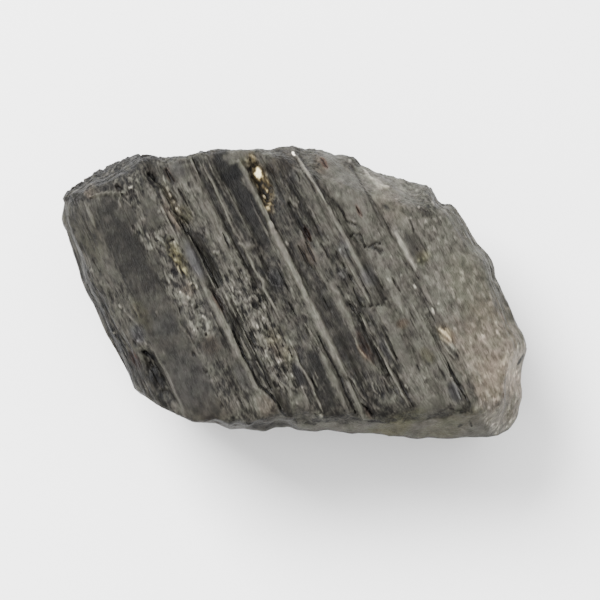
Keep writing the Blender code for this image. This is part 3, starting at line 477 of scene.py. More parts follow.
# The cracks are cut into the skin, and their low lightness paints the shade in them.
CRACKS = (
    # the main crack and the dark lines beside it
    (0.40, -0.25, 0.26, ((-9.25, -4.9), (-9.2, -3), (-9.3, -2))),
    (0.65, -0.15, 0.33, ((-9.0, -1.3), (-8.9, 0.5), (-9.0, 2))),
    (0.34, -0.30, 0.22, ((-9.35, 1), (-9.55, 2.6), (-9.65, 4.4), (-9.5, 6), (-9.7, 7.4), (-9.65, 8.8),
                         (-9.2, 9.8), (-8.8, 10.8), (-8.55, 12), (-8.5, 13), (-8.35, 14.1))),
    (0.30, -0.25, 0.24, ((-8.55, -13.2), (-8.55, -10), (-8.55, -7), (-8.5, -5))),
    (0.36, -0.30, 0.20, ((-8.9, -14.9), (-8.8, -13.1))),
    (0.34, -0.20, 0.33, ((-9.2, -16.8), (-8.8, -15.9), (-8.3, -15.0), (-8.15, -14.2))),
    (0.20, -0.15, 0.31, ((-8.3, -19.7), (-8.3, -17.5))),
    (0.18, -0.12, 0.34, ((-10.05, -16.6), (-10.0, -13.5))),
    (0.22, -0.12, 0.32, ((-7.8, -3.4), (-7.75, 0.9))),
    (0.26, -0.20, 0.29, ((-7.9, 2.3), (-8.1, 5), (-8.1, 7), (-8.3, 9), (-8.4, 10))),
    (0.18, -0.12, 0.34, ((-8.6, 2.2), (-8.6, 6))),
    (0.25, -0.15, 0.31, ((-7.2, -19), (-7.2, -16.2))),
    # left of the main ridge
    (0.28, -0.20, 0.24, ((-4.75, -11), (-4.7, -8.8))),
    (0.40, -0.18, 0.31, ((-3.65, -21.6), (-3.65, -19.4))),
    (0.30, -0.12, 0.37, ((-3.75, -13.5), (-3.8, -9), (-3.7, -5), (-3.7, 0))),
    (0.25, -0.15, 0.34, ((-2.4, -19.2), (-2.4, -16.5))),
    (0.25, -0.15, 0.31, ((-2.55, -3.6), (-2.5, -1.9))),
    (0.30, -0.15, 0.31, ((-0.5, -3.6), (-0.5, -0.4))),
    (0.28, -0.25, 0.22, ((-1.25, 0.9), (-1.15, 2.9))),
    (0.20, -0.12, 0.34, ((-1.6, 3.9), (-1.55, 4.7))),
    (0.32, -0.20, 0.28, ((0.2, 6.8), (0.2, 9), (0.25, 12), (0.0, 15), (-0.1, 18))),
    (0.25, -0.15, 0.30, ((-3.9, 6), (-4.05, 7.5))),
    (0.20, -0.15, 0.26, ((-3.2, 11), (-3.15, 12.6))),
    # right of the main ridge
    (0.30, -0.15, 0.30, ((3.3, -5), (3.3, -2))),
    (0.25, -0.15, 0.30, ((4.3, -5), (4.3, -1.8))),
    (0.30, -0.12, 0.32, ((3.1, 2.4), (3.1, 5))),
    (0.60, -0.10, 0.33, ((3.0, 0.7), (3.0, 1.9))),
    (0.38, -0.22, 0.27, ((5.0, -6.6), (5.1, -5.7), (4.95, -4.9))),
    (0.30, -0.12, 0.35, ((4.75, -10.8), (4.9, -9.8))),
    (0.25, -0.10, 0.35, ((4.7, -16.8), (4.6, -14))),
    (0.28, -0.14, 0.36, ((6.6, -8), (6.6, -5.5), (6.6, -3.6))),
    (0.22, -0.15, 0.28, ((7.6, -14), (7.5, -12.4))),
    (0.50, -0.15, 0.38, ((9.1, -15.6), (9.3, -12.6), (9.6, -10), (9.9, -8.8))),
    (0.25, -0.10, 0.33, ((8.3, -14), (8.5, -10))),
    (0.32, -0.18, 0.34, ((7.4, -2.2), (7.35, 0.5))),
    (0.30, -0.20, 0.30, ((7.4, 1.5), (7.45, 2.3))),
    (0.50, -0.20, 0.30, ((7.1, 3.3), (7.1, 5.9))),
    (0.34, -0.15, 0.38, ((7.05, 5.7), (7.5, 6.3), (8.3, 6.5), (8.9, 6.6), (9.4, 7.0))),
    (0.20, -0.10, 0.30, ((9.5, 6.5), (10.2, 6.4))),
    (0.25, -0.12, 0.34, ((8.45, -2), (8.4, 5.6))),
    (0.20, -0.10, 0.35, ((10.4, 2.8), (10.4, 5))),
    (0.35, -0.20, 0.26, ((5.75, 4.9), (5.8, 6.4))),
    (0.30, -0.15, 0.29, ((5.85, 6.6), (5.85, 10), (5.9, 12), (5.85, 14.4))),
    (0.50, -0.10, 0.34, ((4.9, 9.4), (5.0, 12))),
    (0.25, -0.17, 0.31, ((6.8, 6.6), (6.75, 8))),
    (0.25, -0.10, 0.32, ((7.2, 8.2), (7.3, 9.2))),
    (0.45, -0.10, 0.34, ((6.9, 11.2), (6.9, 13.5))),
    (0.30, -0.20, 0.31, ((6.75, 14.8), (6.85, 17), (6.8, 20.3))),
    (0.35, -0.20, 0.31, ((7.95, 9.4), (7.95, 12), (7.75, 14))),
    (0.25, -0.15, 0.31, ((5.1, 15.5), (5.0, 17))),
    (0.32, -0.30, 0.21, ((1.05, 17.1), (1.4, 18), (1.6, 18.9))),
    # the pale faces and the branched crack
    (0.34, -0.18, 0.34, ((9.9, -9), (10.3, -7.8), (10.55, -6.5), (10.5, -4.7))),
    (0.30, -0.12, 0.40, ((10.5, -4.7), (10.8, -4.3), (11.2, -3.9), (11.4, -3.3))),
    (0.42, -0.18, 0.34, ((9.9, -2.85), (10.5, -3.0), (11.0, -2.6), (11.0, -1.2), (11.05, -0.85))),
    (0.46, -0.20, 0.32, ((10.95, -0.85), (11.6, -0.65), (12.3, -0.65), (12.85, -0.35))),
    (0.48, -0.18, 0.35, ((11.6, -0.35), (12.1, 0.1), (12.4, 0.5))),
    (0.25, -0.15, 0.33, ((11.3, -13.9), (11.5, -12.4))),
    (0.22, -0.15, 0.30, ((12.3, -6.1), (12.5, -4.6))),
    (0.30, -0.10, 0.43, ((14.65, -11), (14.5, -8), (14.4, -5), (14.3, -2))),
    (0.25, -0.17, 0.30, ((12.25, 4.4), (12.3, 6.6))),
    (0.20, -0.10, 0.36, ((12.2, 9), (12.25, 11.2))),
    (0.20, -0.10, 0.36, ((11.75, 10), (11.8, 13))),
    (0.16, -0.07, 0.38, ((10.9, 12), (10.9, 13))),
    (0.35, -0.10, 0.38, ((14.5, 7.6), (14.5, 12))),
    (0.24, -0.08, 0.44, ((13.45, 12), (13.4, 15.5), (13.35, 17.6))),
    (0.32, -0.22, 0.25, ((13.35, 17.4), (13.35, 20), (13.3, 22.6))),
    (0.20, -0.12, 0.30, ((12.2, 16.6), (12.25, 19.6))),
    (0.30, -0.10, 0.38, ((17.9, -1.2), (17.6, 0.4), (17.8, 2.4), (17.8, 3.8))),
    # the front end
    (0.60, -0.12, 0.42, ((7.6, 22.6), (8.8, 22.9), (9.5, 23.3), (10.6, 23.4), (12.2, 23.7))),
    (0.30, -0.15, 0.31, ((1.1, 19.5), (2.4, 20.4))),
    (0.28, -0.08, 0.40, ((4.3, 20.1), (5.2, 20.8))),
    (0.28, -0.08, 0.40, ((5.1, 21.2), (6.0, 21.6))),
    (0.25, -0.12, 0.34, ((-6.5, 15.8), (-5.6, 16.5), (-4.8, 16.5))),
    (0.28, -0.10, 0.35, ((-14.5, 11.8), (-13.4, 12.3), (-11.9, 13.1), (-10.5, 13.9), (-9.1, 14.7))),
    (0.25, -0.10, 0.36, ((12.4, 25.3), (12.4, 26.3))),
    (0.40, -0.12, 0.33, ((21.7, 22.1), (22.9, 21.4))),
    # the left margin and the broken end
    (0.80, -0.30, 0.14, ((-20.9, -1.9), (-20.4, -1.2), (-20.05, -0.3))),
    (0.50, -0.15, 0.28, ((-22.7, -2.6), (-22.6, -0.8))),
    (0.40, -0.15, 0.30, ((-21.6, -3.8), (-21.5, -3.3))),
    (0.20, -0.10, 0.35, ((-21.5, -16), (-21.4, -13.2))),
    (0.25, -0.10, 0.35, ((-21.6, -11.5), (-21.5, -9.6))),
    (0.25, -0.07, 0.41, ((-19.75, -21.6), (-19.95, -20))),
    (0.40, -0.10, 0.34, ((-20.5, -18.4), (-20.2, -18.2))),
    (0.60, -0.30, 0.21, ((-9.8, -22.5), (-9.3, -21.2))),
    (0.50, -0.25, 0.26, ((-7.5, -22), (-7.45, -20.3))),
    (0.30, -0.15, 0.31, ((-8.0, -20.2), (-7.1, -20))),
    (0.50, -0.20, 0.28, ((-14.3, -22.8), (-13.8, -22.3))),
    (0.90, -0.20, 0.30, ((-19.6, -24.3), (-19.0, -24.0), (-18.8, -23.4))),
    (0.25, -0.12, 0.30, ((-14.7, -17.3), (-14.5, -16.7))),
    (0.25, -0.10, 0.30, ((-12.6, -15.7), (-12.4, -15.2))),
    (0.50, -0.15, 0.26, ((-11.3, -13.2), (-10.9, -13.2))),
    (0.22, -0.15, 0.31, ((-12.9, -4.1), (-11.9, -3.9))),
    (0.20, -0.15, 0.33, ((-13.0, -2.4), (-12.2, -1.8))),
    (0.30, -0.10, 0.37, ((-14.5, -2.6), (-14.55, 0))),
    (0.20, -0.10, 0.30, ((-14.2, -4.9), (-14.4, -4))),
    (0.25, -0.10, 0.33, ((-10.75, -4), (-10.65, 1))),
    (0.20, -0.07, 0.36, ((-11.2, -3), (-11.2, -0.5))),
    (0.20, -0.10, 0.35, ((-11.1, 2), (-10.7, 3.4))),
)

# Single spots: middle (across, along), width, length, lean to the right, height and lightness. The lightest
# are small fresh faces and crumbs of pale mineral with painted glints: the white one first is a painted
# highlight on a tiny facet, and the cream flake after it is a pale flake with its glint painted on.
SPOTS = (
    # painted highlight: the glint of a tiny fresh facet
    (8.42, -16.1, 0.32, 0.60, 0.0, 0.05, 1.25),
    # a pale cream flake, with its glint painted on
    (3.05, -15.85, 1.05, 1.5, -0.15, 0.12, 1.08),
    (3.95, -15.2, 0.30, 0.5, 0.0, 0.08, 0.70),
    (2.95, -13.4, 0.28, 0.5, 0.0, 0.1, 0.88),
    (2.3, -12.75, 0.32, 0.5, 0.2, 0.1, 0.86),
    (2.05, -11.15, 0.7, 0.6, -0.3, 0.1, 0.84),
    (2.5, -11.6, 0.3, 0.5, 0.3, 0.08, 0.72),
    (1.35, -9.1, 0.45, 0.8, 0.0, 0.08, 0.76),
    (2.5, -18.0, 0.5, 0.7, 0.3, 0.1, 0.68),
    (3.4, -18.1, 0.4, 0.9, 0.6, 0.1, 0.68),
    (2.3, -17.3, 0.4, 0.4, 0.0, 0.1, 0.62),
    (-8.45, -19.5, 0.3, 0.5, 0.0, 0.08, 0.75),
    (-8.5, -18.55, 0.32, 0.5, 0.0, 0.1, 0.78),
    (-8.55, -17.65, 0.26, 0.4, 0.0, 0.08, 0.76),
    (-8.6, -16.6, 0.34, 0.55, -0.2, 0.1, 0.82),
    (-10.8, -17.4, 0.3, 0.5, 0.0, 0.1, 0.67),
    (-12.6, -21.95, 0.6, 0.4, 0.4, 0.1, 0.92),
    (-10.9, -12.3, 0.36, 0.6, 0.0, 0.1, 0.72),
    (-11.8, -10.65, 0.36, 0.6, 0.3, 0.1, 0.78),
    (-11.95, -9.6, 0.22, 0.9, 0.0, 0.1, 0.80),
    (-11.4, -9.0, 0.45, 0.65, 0.0, 0.1, 0.78),
    (-10.5, -12.6, 0.26, 0.7, 0.0, 0.1, 0.69),
    (-13.8, -8.7, 0.4, 0.4, 0.0, 0.1, 0.77),
    (-11.5, -7.0, 0.6, 0.34, 0.0, 0.1, 0.82),
    (-10.9, -6.4, 0.3, 0.55, 0.0, 0.1, 0.82),
    (-12.45, -5.6, 0.36, 0.7, 0.2, 0.1, 0.84),
    (-13.1, -5.8, 0.26, 0.45, 0.0, 0.08, 0.68),
    (-11.9, -2.35, 0.3, 0.7, 0.3, 0.1, 0.92),
    (-12.0, -1.0, 0.36, 0.4, 0.0, 0.08, 0.78),
    (-12.3, -0.3, 0.3, 0.4, 0.0, 0.08, 0.74),
    (-21.0, -8.7, 0.28, 0.5, 0.0, 0.08, 0.85),
    (-22.2, -14.7, 0.42, 0.42, 0.0, 0.05, 0.66),
    (-23.5, -6.1, 0.36, 0.36, 0.0, 0.05, 0.68),
    (-21.0, -3.6, 0.36, 0.32, 0.0, 0.08, 0.72),
    (-20.15, -2.85, 0.3, 0.45, 0.0, 0.08, 0.68),
    (-17.05, -5.7, 0.26, 0.36, 0.0, 0.03, 0.56),
    (-18.7, -0.7, 0.32, 0.6, 0.0, 0.03, 0.51),
    (-6.3, 1.9, 0.25, 0.7, 0.0, 0.1, 0.88),
    (-6.8, 5.2, 0.25, 0.5, 0.0, 0.08, 0.82),
    (-6.0, 7.4, 0.34, 0.34, 0.0, 0.08, 0.86),
    (-6.85, 12.7, 0.36, 0.42, 0.0, 0.08, 0.71),
    (-6.3, 13.0, 0.3, 0.42, 0.0, 0.08, 0.71),
    (-7.6, 10.3, 0.3, 0.42, 0.0, 0.08, 0.64),
    (-4.3, 15.9, 0.42, 0.6, 0.4, 0.1, 0.82),
    (2.1, -5.9, 0.3, 0.62, 0.3, 0.1, 0.74),
    (5.95, 4.0, 0.28, 0.8, 0.0, 0.1, 0.77),
    (6.5, 1.0, 0.5, 0.9, 0.2, 0.1, 0.63),
    (7.9, -2.0, 0.3, 0.65, -0.4, 0.1, 0.79),
    (13.35, 1.9, 0.26, 0.42, 0.0, 0.05, 0.79),
    (14.3, 6.9, 0.32, 0.55, 0.2, 0.08, 0.92),
    (13.4, 4.7, 0.3, 0.36, 0.0, 0.05, 0.70),
    (14.9, 10.6, 0.3, 0.85, 0.0, 0.08, 0.95),
    (15.9, 10.2, 0.27, 0.32, 0.0, 0.05, 0.89),
    (16.1, 14.2, 0.27, 0.42, 0.0, 0.05, 0.70),
    (14.6, -11.9, 0.32, 0.5, 0.0, 0.05, 0.77),
    (19.7, -2.2, 0.3, 0.42, 0.0, 0.05, 0.79),
    (16.3, 4.0, 0.36, 0.3, 0.0, 0.05, 0.70),
    (17.1, 3.9, 0.36, 0.42, 0.0, 0.05, 0.70),
    (6.6, -13.9, 0.36, 0.32, 0.0, 0.05, 0.56),
    (16.3, -5.6, 0.5, 0.4, 0.0, 0.03, 0.71),
    (7.1, 17.7, 0.26, 0.55, 0.2, 0.08, 0.79),
    (8.8, 16.3, 0.26, 0.6, 0.0, 0.08, 0.66),
    (10.15, 16.2, 0.26, 0.62, 0.2, 0.08, 0.68),
    (10.55, 17.0, 0.26, 0.75, -0.2, 0.08, 0.68),
    (9.8, 17.7, 0.36, 0.36, 0.0, 0.08, 0.79),
    (7.8, 16.5, 0.26, 0.7, 0.0, 0.08, 0.60),
    (6.8, 14.4, 0.26, 0.42, 0.0, 0.08, 0.60),
    (19.95, 15.0, 0.27, 0.55, 0.0, 0.05, 0.70),
    (21.65, -1.8, 0.3, 0.55, 0.0, 0.05, 0.77),
    (20.7, 7.6, 0.42, 0.65, 0.0, 0.03, 0.68),
    (-15.2, 1.4, 0.36, 0.6, 0.0, -0.2, 0.24),
    (-14.8, 4.0, 0.34, 0.34, 0.0, -0.15, 0.30),
    (-15.1, 8.8, 0.36, 0.8, 0.0, -0.15, 0.32),
    (-12.6, -0.2, 0.3, 0.35, 0.0, -0.25, 0.20),
    (17.5, 11.2, 0.34, 0.3, 0.0, -0.08, 0.44),
    (16.9, 2.7, 0.36, 0.36, 0.0, -0.15, 0.35),
    (12.45, 0.7, 0.7, 0.6, 0.0, -0.15, 0.35),
    (9.8, 16.2, 0.25, 0.9, 0.0, -0.15, 0.34),
    (9.7, 18.3, 0.27, 0.22, 0.0, -0.15, 0.37),
    (11.0, 25.4, 0.6, 0.32, 0.0, -0.15, 0.37),
    (12.9, -9.5, 0.8, 0.8, 0.0, -0.05, 0.47),
)

# The noise that makes the edges of all zones, lines and spots a little wavy and ragged.
WAVE = 0.10  # mm
wavy_across = across + WAVE * grain(1.6, 2.0, octaves=3, seed=40.0)
wavy_along = along + WAVE * grain(1.6, 2.0, octaves=3, seed=47.0)
ragged = grain(0.9, 2.5, octaves=3, seed=12.0)
crumbs = lumps(0.45, octaves=2, seed=90.0)
ZONE_EDGE = (0.78, 1.18)  # where each begins to fade and where it ends, in half-sizes
LINE_EDGE = (0.45, 1.3)
SPOT_EDGE = (0.75, 1.35)
TINT_EDGE = (0.5, 1.3)
ZONE_RAGGED = 0.22  # how ragged each one's edge is
LINE_RAGGED = 0.35
SPOT_RAGGED = 0.5
TINT_RAGGED = 0.25
LINE_TIP = 2.0  # mm, how long a line's pointed end is
TIP_WIDTH = 0.45  # of the line's own width


def in_zone(centre, half):
    """How far each vertex is into a zone: 1 inside, 0 outside, with rounded corners and a ragged edge."""
    away = np.abs((wavy_across - centre[0]) / half[0]) ** 3 + np.abs((along - centre[1]) / half[1]) ** 3
    return 1 - ramp(np.cbrt(away) + ZONE_RAGGED * ragged, *ZONE_EDGE)


def on_line(path, width):
    """How far each vertex is on a ridge or crack: 1 on its middle, 0 beside it, thinner at its two ends."""
    nearest = np.full(len(points), 1e9)
    travelled = np.zeros(len(points))
    before = 0.0
    for (x0, y0), (x1, y1) in zip(path, path[1:]):
        length = math.hypot(x1 - x0, y1 - y0)
        share = np.clip(((wavy_across - x0) * (x1 - x0) + (along - y0) * (y1 - y0)) / length**2, 0, 1)
        away = np.hypot(wavy_across - x0 - share * (x1 - x0), along - y0 - share * (y1 - y0))
        travelled = np.where(away < nearest, before + share * length, travelled)
        nearest = np.minimum(nearest, away)
        before += length
    from_tip = ramp(np.minimum(travelled, before - travelled), -0.3, min(LINE_TIP, before / 2))
    thin = TIP_WIDTH + (1 - TIP_WIDTH) * from_tip
    return 1 - ramp(nearest / (0.5 * width * thin * (1 + LINE_RAGGED * ragged)), *LINE_EDGE)


def on_spot(x, y, width, length, lean):
    """How far each vertex is on a spot: 1 inside, 0 outside."""
    down = wavy_along - y
    aside = wavy_across - x - lean * down
    away = np.hypot(aside / (0.5 * width), down / (0.5 * length))
    return 1 - ramp(away + SPOT_RAGGED * crumbs, *SPOT_EDGE)


# The plain solid's cracks and its hollow on the left are wider than the real ones, so they are filled a
# little here before those are cut: width and height of each filling, both mm, and its path.
FILLINGS = (
    (1.3, 0.45, ((-9.3, 0), (-9.7, 2.6), (-9.8, 4.4), (-9.8, 7.4), (-9.8, 8.8), (-9.3, 9.8), (-8.9, 11),
                 (-8.5, 13))),
    (1.1, 0.40, ((5.8, 6), (5.8, 15))),
    (2.2, 0.25, ((-20.9, 0.9), (-20.9, 3.2))),
    (1.0, 0.30, ((13.4, 11), (13.4, 17), (13.3, 23))),
)
for width, height, path in FILLINGS:
    points[:, 2] += height * upwards * on_line(path, width)

# Each zone's four values are laid over the skin's own, and then those of the sides that the view sees: a
# smooth, olive-grey band in front, below the line where the striated face ends, a darker strip at its left
# end, and the rough back end. The front band is painted lighter, to make up for the shade of a face that
# turns away from the light, and the left strip darker, against the light that falls on it.
OWN_VALUES = (0.45, 0.25, 0.4, 0.2)
FRONT_EDGE = (
    (-15, 12.2), (-9, 14.9), (-4.5, 16.5), (0, 19.1), (5, 21.4), (8, 22.5), (12.5, 24.0), (14, 24.6),
)
FRONT_BAND = (0.60, 0.0, 0.1, 0.15)
FRONT_TO_LEFT = (0.40, 0.1, 0.2, 0.15)
BACK_END = (0.33, 0.0, 0.1, 0.5)
BACK_END_SHARE = 0.8
BACK_END_ALONG = (-22.0, -19.0)  # mm, between these the back end gives way to the face
FRONT_BAND_ACROSS = (13.6, 14.6)  # mm, between these the front band ends on the right
LEFT_STRIP_ACROSS = (-11.0, -8.0)  # mm, between these the left strip ends
lightness, ruled, fibrous, flecked = (np.full(len(points), value) for value in OWN_VALUES)


def lay(share, values):
    """Take the skin's four values this share of the way to these."""
    for field, value in zip((lightness, ruled, fibrous, flecked), values):
        field += share * (value - field)


for _, centre, half, *values in ZONES:
    lay(in_zone(centre, half), values)
front_edge = np.interp(across, *zip(*FRONT_EDGE))
on_front = ramp(along - front_edge + 0.3 * ragged, 0.0, 0.4) * (1 - ramp(across, *FRONT_BAND_ACROSS))
lay(on_front, FRONT_BAND)
on_back = ends * (1 - in_front) * (1 - ramp(along, *BACK_END_ALONG))
lay(BACK_END_SHARE * on_back, BACK_END)
on_left = in_front * (1 - upwards) * (1 - ramp(across, *LEFT_STRIP_ACROSS))
lay(on_left, FRONT_TO_LEFT)

# The texture of the zones: straight striations in flat steps, winding fibres, small angular flecks, and the
# blocks and snags of the back end. Each adds a share of lightness to the tone and of mm to the level, mostly
# lightening what it raises and darkening what it sinks: partly wear on the crests, partly painted shade in
# the grooves.
strand = grain(0.7, 16.0, octaves=2, seed=17.0)
fine_strand = grain(0.32, 7.0, octaves=2, seed=23.0)
fibres = grain(0.45, 1.9, octaves=3, seed=29.0, twist=1.3)
fine_fibres = grain(0.24, 1.3, octaves=2, seed=57.0, twist=0.8)
shreds = grain(0.5, 0.9, octaves=2, seed=51.0, twist=0.6)
blotches = lumps(1.6, octaves=2, seed=7.0)
mottles = lumps(0.7, octaves=2, seed=83.0)
snags = lumps(1.5, octaves=4, seed=60.0)
fleck, fleck_inside = flecks(0.42, 0.8, seed=5.0)
block, block_inside = flecks(1.1, 1.0, seed=14.0)
stepped = np.tanh(3.5 * strand)
# painted glints: a few flecks are lightened further, as small facets catching the light
painted_glint = ramp(fleck, 0.93, 0.99)

broken = on_back * (0.16 * (block - 0.5) - 0.10 * (1 - block_inside))
tone = lightness + 0.06 * blotches + 0.05 * mottles + 0.03 * shreds + 0.06 * on_back * snags + broken
tone += ruled * (0.09 * stepped + 0.13 * fine_strand)
tone += fibrous * (0.10 * np.tanh(3 * fibres) + 0.07 * np.tanh(3 * fine_fibres) + 0.05 * np.tanh(3 * shreds))
tone += flecked * (0.34 * (fleck - 0.5) - 0.14 * (1 - fleck_inside) + 0.18 * painted_glint * fleck_inside)
level = ruled * (0.12 * stepped + 0.06 * fine_strand)
level += fibrous * (0.13 * fibres + 0.05 * fine_fibres)
level += flecked * (0.10 * (fleck - 0.5) - 0.05 * (1 - fleck_inside)) + 0.02 * shreds

FADED = 0.7  # how much of the texture the lines and spots take away


def fade_texture(share):
    """Take the skin's texture away where a line or a spot lies."""
    for field in (ruled, fibrous, flecked):
        field *= 1 - FADED * share


# Each line lays its lightness over the tone: a painted sheen along the ridges and painted shade in the
# cracks.
for width, height, target, path in RIDGES + CRACKS:
    share = on_line(path, width)
    level += share * height
    tone += share * (target + 0.12 * fine_fibres + 0.05 * mottles - tone)
    fade_texture(share)
# The lightest spots lay painted highlights and glints into the tone.
for x, y, width, length, lean, height, target in SPOTS:
    share = on_spot(x, y, width, length, lean)
    level += share * height
    tone += share * (target - tone)
    fade_texture(share)

# Away from the striated face the same skin goes on: shallow striations round the sides and below, and
# hackly breaks at the two ends, where the bundled columns snapped.
SIDE_LEVEL = 0.14  # mm, the depth of each one's relief
END_LEVEL = 0.22
FRONT_LEVEL = 0.08
side_level = SIDE_LEVEL * (0.8 * stepped + 0.5 * fine_strand + 0.4 * fibres)
blocky = 1.5 - ramp(across, -9.0, -1.0)  # the blocks of the back end stand out more on its left
end_level = END_LEVEL * (0.9 * snags + blocky * (block - 0.5 + 0.3 * block_inside) + 0.4 * (fleck - 0.5))
end_level += in_front * (FRONT_LEVEL * (lumps(3.5, octaves=3, seed=77.0) + 0.3 * snags) - end_level)
level = upwards * level + (1 - upwards) * ((1 - ends) * side_level + ends * end_level)
# Here too the raised parts are painted lighter and the sunk ones darker: partly wear, partly painted shade.
side_tone = 0.42 + 0.07 * stepped + 0.07 * fine_strand + 0.10 * fibres
end_tone = 0.42 + 0.08 * snags + 0.10 * (fleck - 0.5) + 0.05 * shreds
tone = seen_from_above * tone + (1 - seen_from_above) * ((1 - ends) * side_tone + ends * end_tone)

LEVEL_LIMITS = (-1.2, 0.45)  # mm
level = np.clip(level, *LEVEL_LIMITS)
points += normals * level[:, None]
points[:, 2] = np.maximum(points[:, 2], 0.0)  # nothing goes through the floor
crystal.data.vertices.foreach_set("co", (points * MM).ravel())
crystal.data.update()

# What colours the skin beyond light and dark: iron stain and pale mineral crumbs (ochre), a warm pinkish
# beige, rust, olive and a cold blue-grey. Each has its places: middle, half-size, and share from 0 to 1.
TINTS = {
    "ochre": (
        ((3.0, -15.2), (1.1, 3.4), 0.9),
        ((2.3, -11.6), (0.9, 1.2), 0.8),
        ((-8.7, -17.5), (0.5, 3.4), 0.25),
        ((-11.5, -10.4), (0.8, 2.4), 0.2),
        ((14.8, 14.0), (0.9, 1.6), 0.3),
    ),
    "warm": (
        ((19.5, 18.0), (5.0, 6.0), 0.55),
        ((18.5, 22.0), (4.0, 4.5), 0.75),
        ((15.3, 14.3), (0.9, 1.6), 0.8),
        ((16.5, -4.5), (1.8, 3.0), 0.35),
        ((10.7, -13.3), (0.9, 1.3), 0.7),
        ((10.6, 10.3), (0.9, 0.6), 0.9),
        ((-9.7, -16.0), (0.5, 2.6), 0.7),
        ((-12.0, -6.5), (1.0, 1.0), 0.6),
        ((-12.9, 1.2), (1.2, 1.5), 0.6),
        ((-17.0, 9.0), (3.0, 2.6), 0.35),
        ((17.5, 26.0), (3.5, 2.6), 0.4),
        ((21.5, 23.0), (3.0, 4.0), 0.4),
        ((-17.6, -24.1), (1.0, 1.2), 0.6),
        ((-5.2, 5.6), (1.2, 2.0), 0.35),
        ((-10.0, 12.0), (1.4, 2.0), 0.4),
        ((4.2, 11.2), (0.4, 1.4), 0.8),
        ((6.2, -15.6), (2.0, 1.8), 0.5),
    ),
    "rust": (
        ((5.0, -5.8), (0.5, 1.2), 0.9),
        ((3.9, -3.4), (1.0, 2.2), 0.35),
        ((4.9, 10.8), (0.6, 2.2), 0.6),
        ((-22.5, -1.7), (0.6, 1.4), 0.9),
        ((11.4, -13.2), (0.4, 1.0), 0.7),
        ((12.4, -5.4), (0.3, 1.0), 0.6),
        ((-9.3, -3.2), (0.4, 1.8), 0.5),
        ((-7.4, -21.0), (0.5, 1.2), 0.4),
        ((2.6, -14.0), (0.8, 2.0), 0.3),
        ((1.3, 18.4), (0.4, 1.0), 0.4),
    ),
    "olive": (
        ((3.0, 21.6), (4.5, 1.4), 0.7),
        ((9.0, 24.8), (5.0, 1.6), 0.35),
        ((-20.6, -18.6), (1.8, 3.4), 0.25),
        ((-4.6, 4.0), (1.8, 1.2), 0.25),
        ((-4.4, 7.2), (0.9, 1.6), 0.3),
        ((-18.9, -6.6), (0.9, 2.2), 0.5),
        ((-7.8, -15.4), (0.7, 1.4), 0.6),
        ((-11.4, -11.0), (0.9, 2.6), 0.9),
        ((21.0, 10.0), (3.0, 5.0), 0.2),
        ((17.0, 3.8), (1.0, 1.0), 0.6),
        ((11.5, 15.4), (0.9, 1.2), 0.5),
        ((2.4, -18.0), (1.2, 1.0), 0.5),
    ),
    "blue": (
        ((-9.6, -9.6), (0.8, 3.0), 0.9),
        ((-20.6, -4.4), (1.0, 1.4), 0.9),
        ((-16.8, -3.6), (1.6, 1.6), 0.5),
        ((-0.2, -13.0), (1.2, 3.0), 0.5),
        ((-1.3, -2.6), (0.9, 1.6), 0.8),
        ((-4.4, 9.8), (0.6, 1.4), 0.8),
        ((9.6, 2.8), (1.0, 1.6), 0.7),
        ((8.3, -1.8), (0.8, 1.4), 0.6),
        ((6.6, 1.0), (0.7, 1.0), 0.6),
        ((7.0, 12.2), (0.5, 1.6), 0.7),
        ((12.4, 21.2), (0.8, 1.4), 0.8),
        ((-6.2, -21.2), (0.9, 1.2), 0.5),
        ((6.8, -13.6), (0.8, 1.2), 0.5),
        ((-11.0, 6.6), (0.8, 2.2), 0.4),
        ((-17.2, 4.5), (2.6, 5.0), 0.4),
    ),
}
LIGHTEST = 1.25  # the tone of the lightest spot, a painted highlight on a tiny facet
own_values = {"tone": np.clip(tone, 0, LIGHTEST), "fibrous": fibrous, "ruled": ruled, "flecked": flecked}
for tint, places in TINTS.items():
    share = np.zeros(len(points))
    for centre, half, amount in places:
        away = np.hypot((wavy_across - centre[0]) / half[0], (wavy_along - centre[1]) / half[1])
        share = np.maximum(share, amount * (1 - ramp(away + TINT_RAGGED * ragged, *TINT_EDGE)))
    own_values[tint] = share * seen_from_above
for name, values in own_values.items():
    layer = crystal.data.attributes.new(name, "FLOAT", "POINT")
    layer.data.foreach_set("value", values.astype(np.float32))
layer = crystal.data.attributes.new("fibre place", "FLOAT_VECTOR", "POINT")
layer.data.foreach_set("vector", (fibre * MM).astype(np.float32).ravel())


def linear(hex_colour):
    """An sRGB hex colour as the linear one that Blender takes."""
    values = (int(hex_colour[i : i + 2], 16) / 255 for i in (1, 3, 5))
    return (*(v / 12.92 if v <= 0.04045 else ((v + 0.055) / 1.055) ** 2.4 for v in values), 1.0)


def node(kind, settings=None, output=0, **links):
    """Add a shader node and return one output. Each input, named with _ for spaces, gets a link or value."""
    made = tree.nodes.new("ShaderNode" + kind)
    for key, value in (settings or {}).items():
        setattr(made, key, value)
    for key, value in links.items():
        number = key[1:]
        socket = made.inputs[int(number)] if number.isdigit() else made.inputs[key.replace("_", " ")]
        if isinstance(value, bpy.types.NodeSocket):
            tree.links.new(value, socket)
        else:
            socket.default_value = value
    return made.outputs[output]


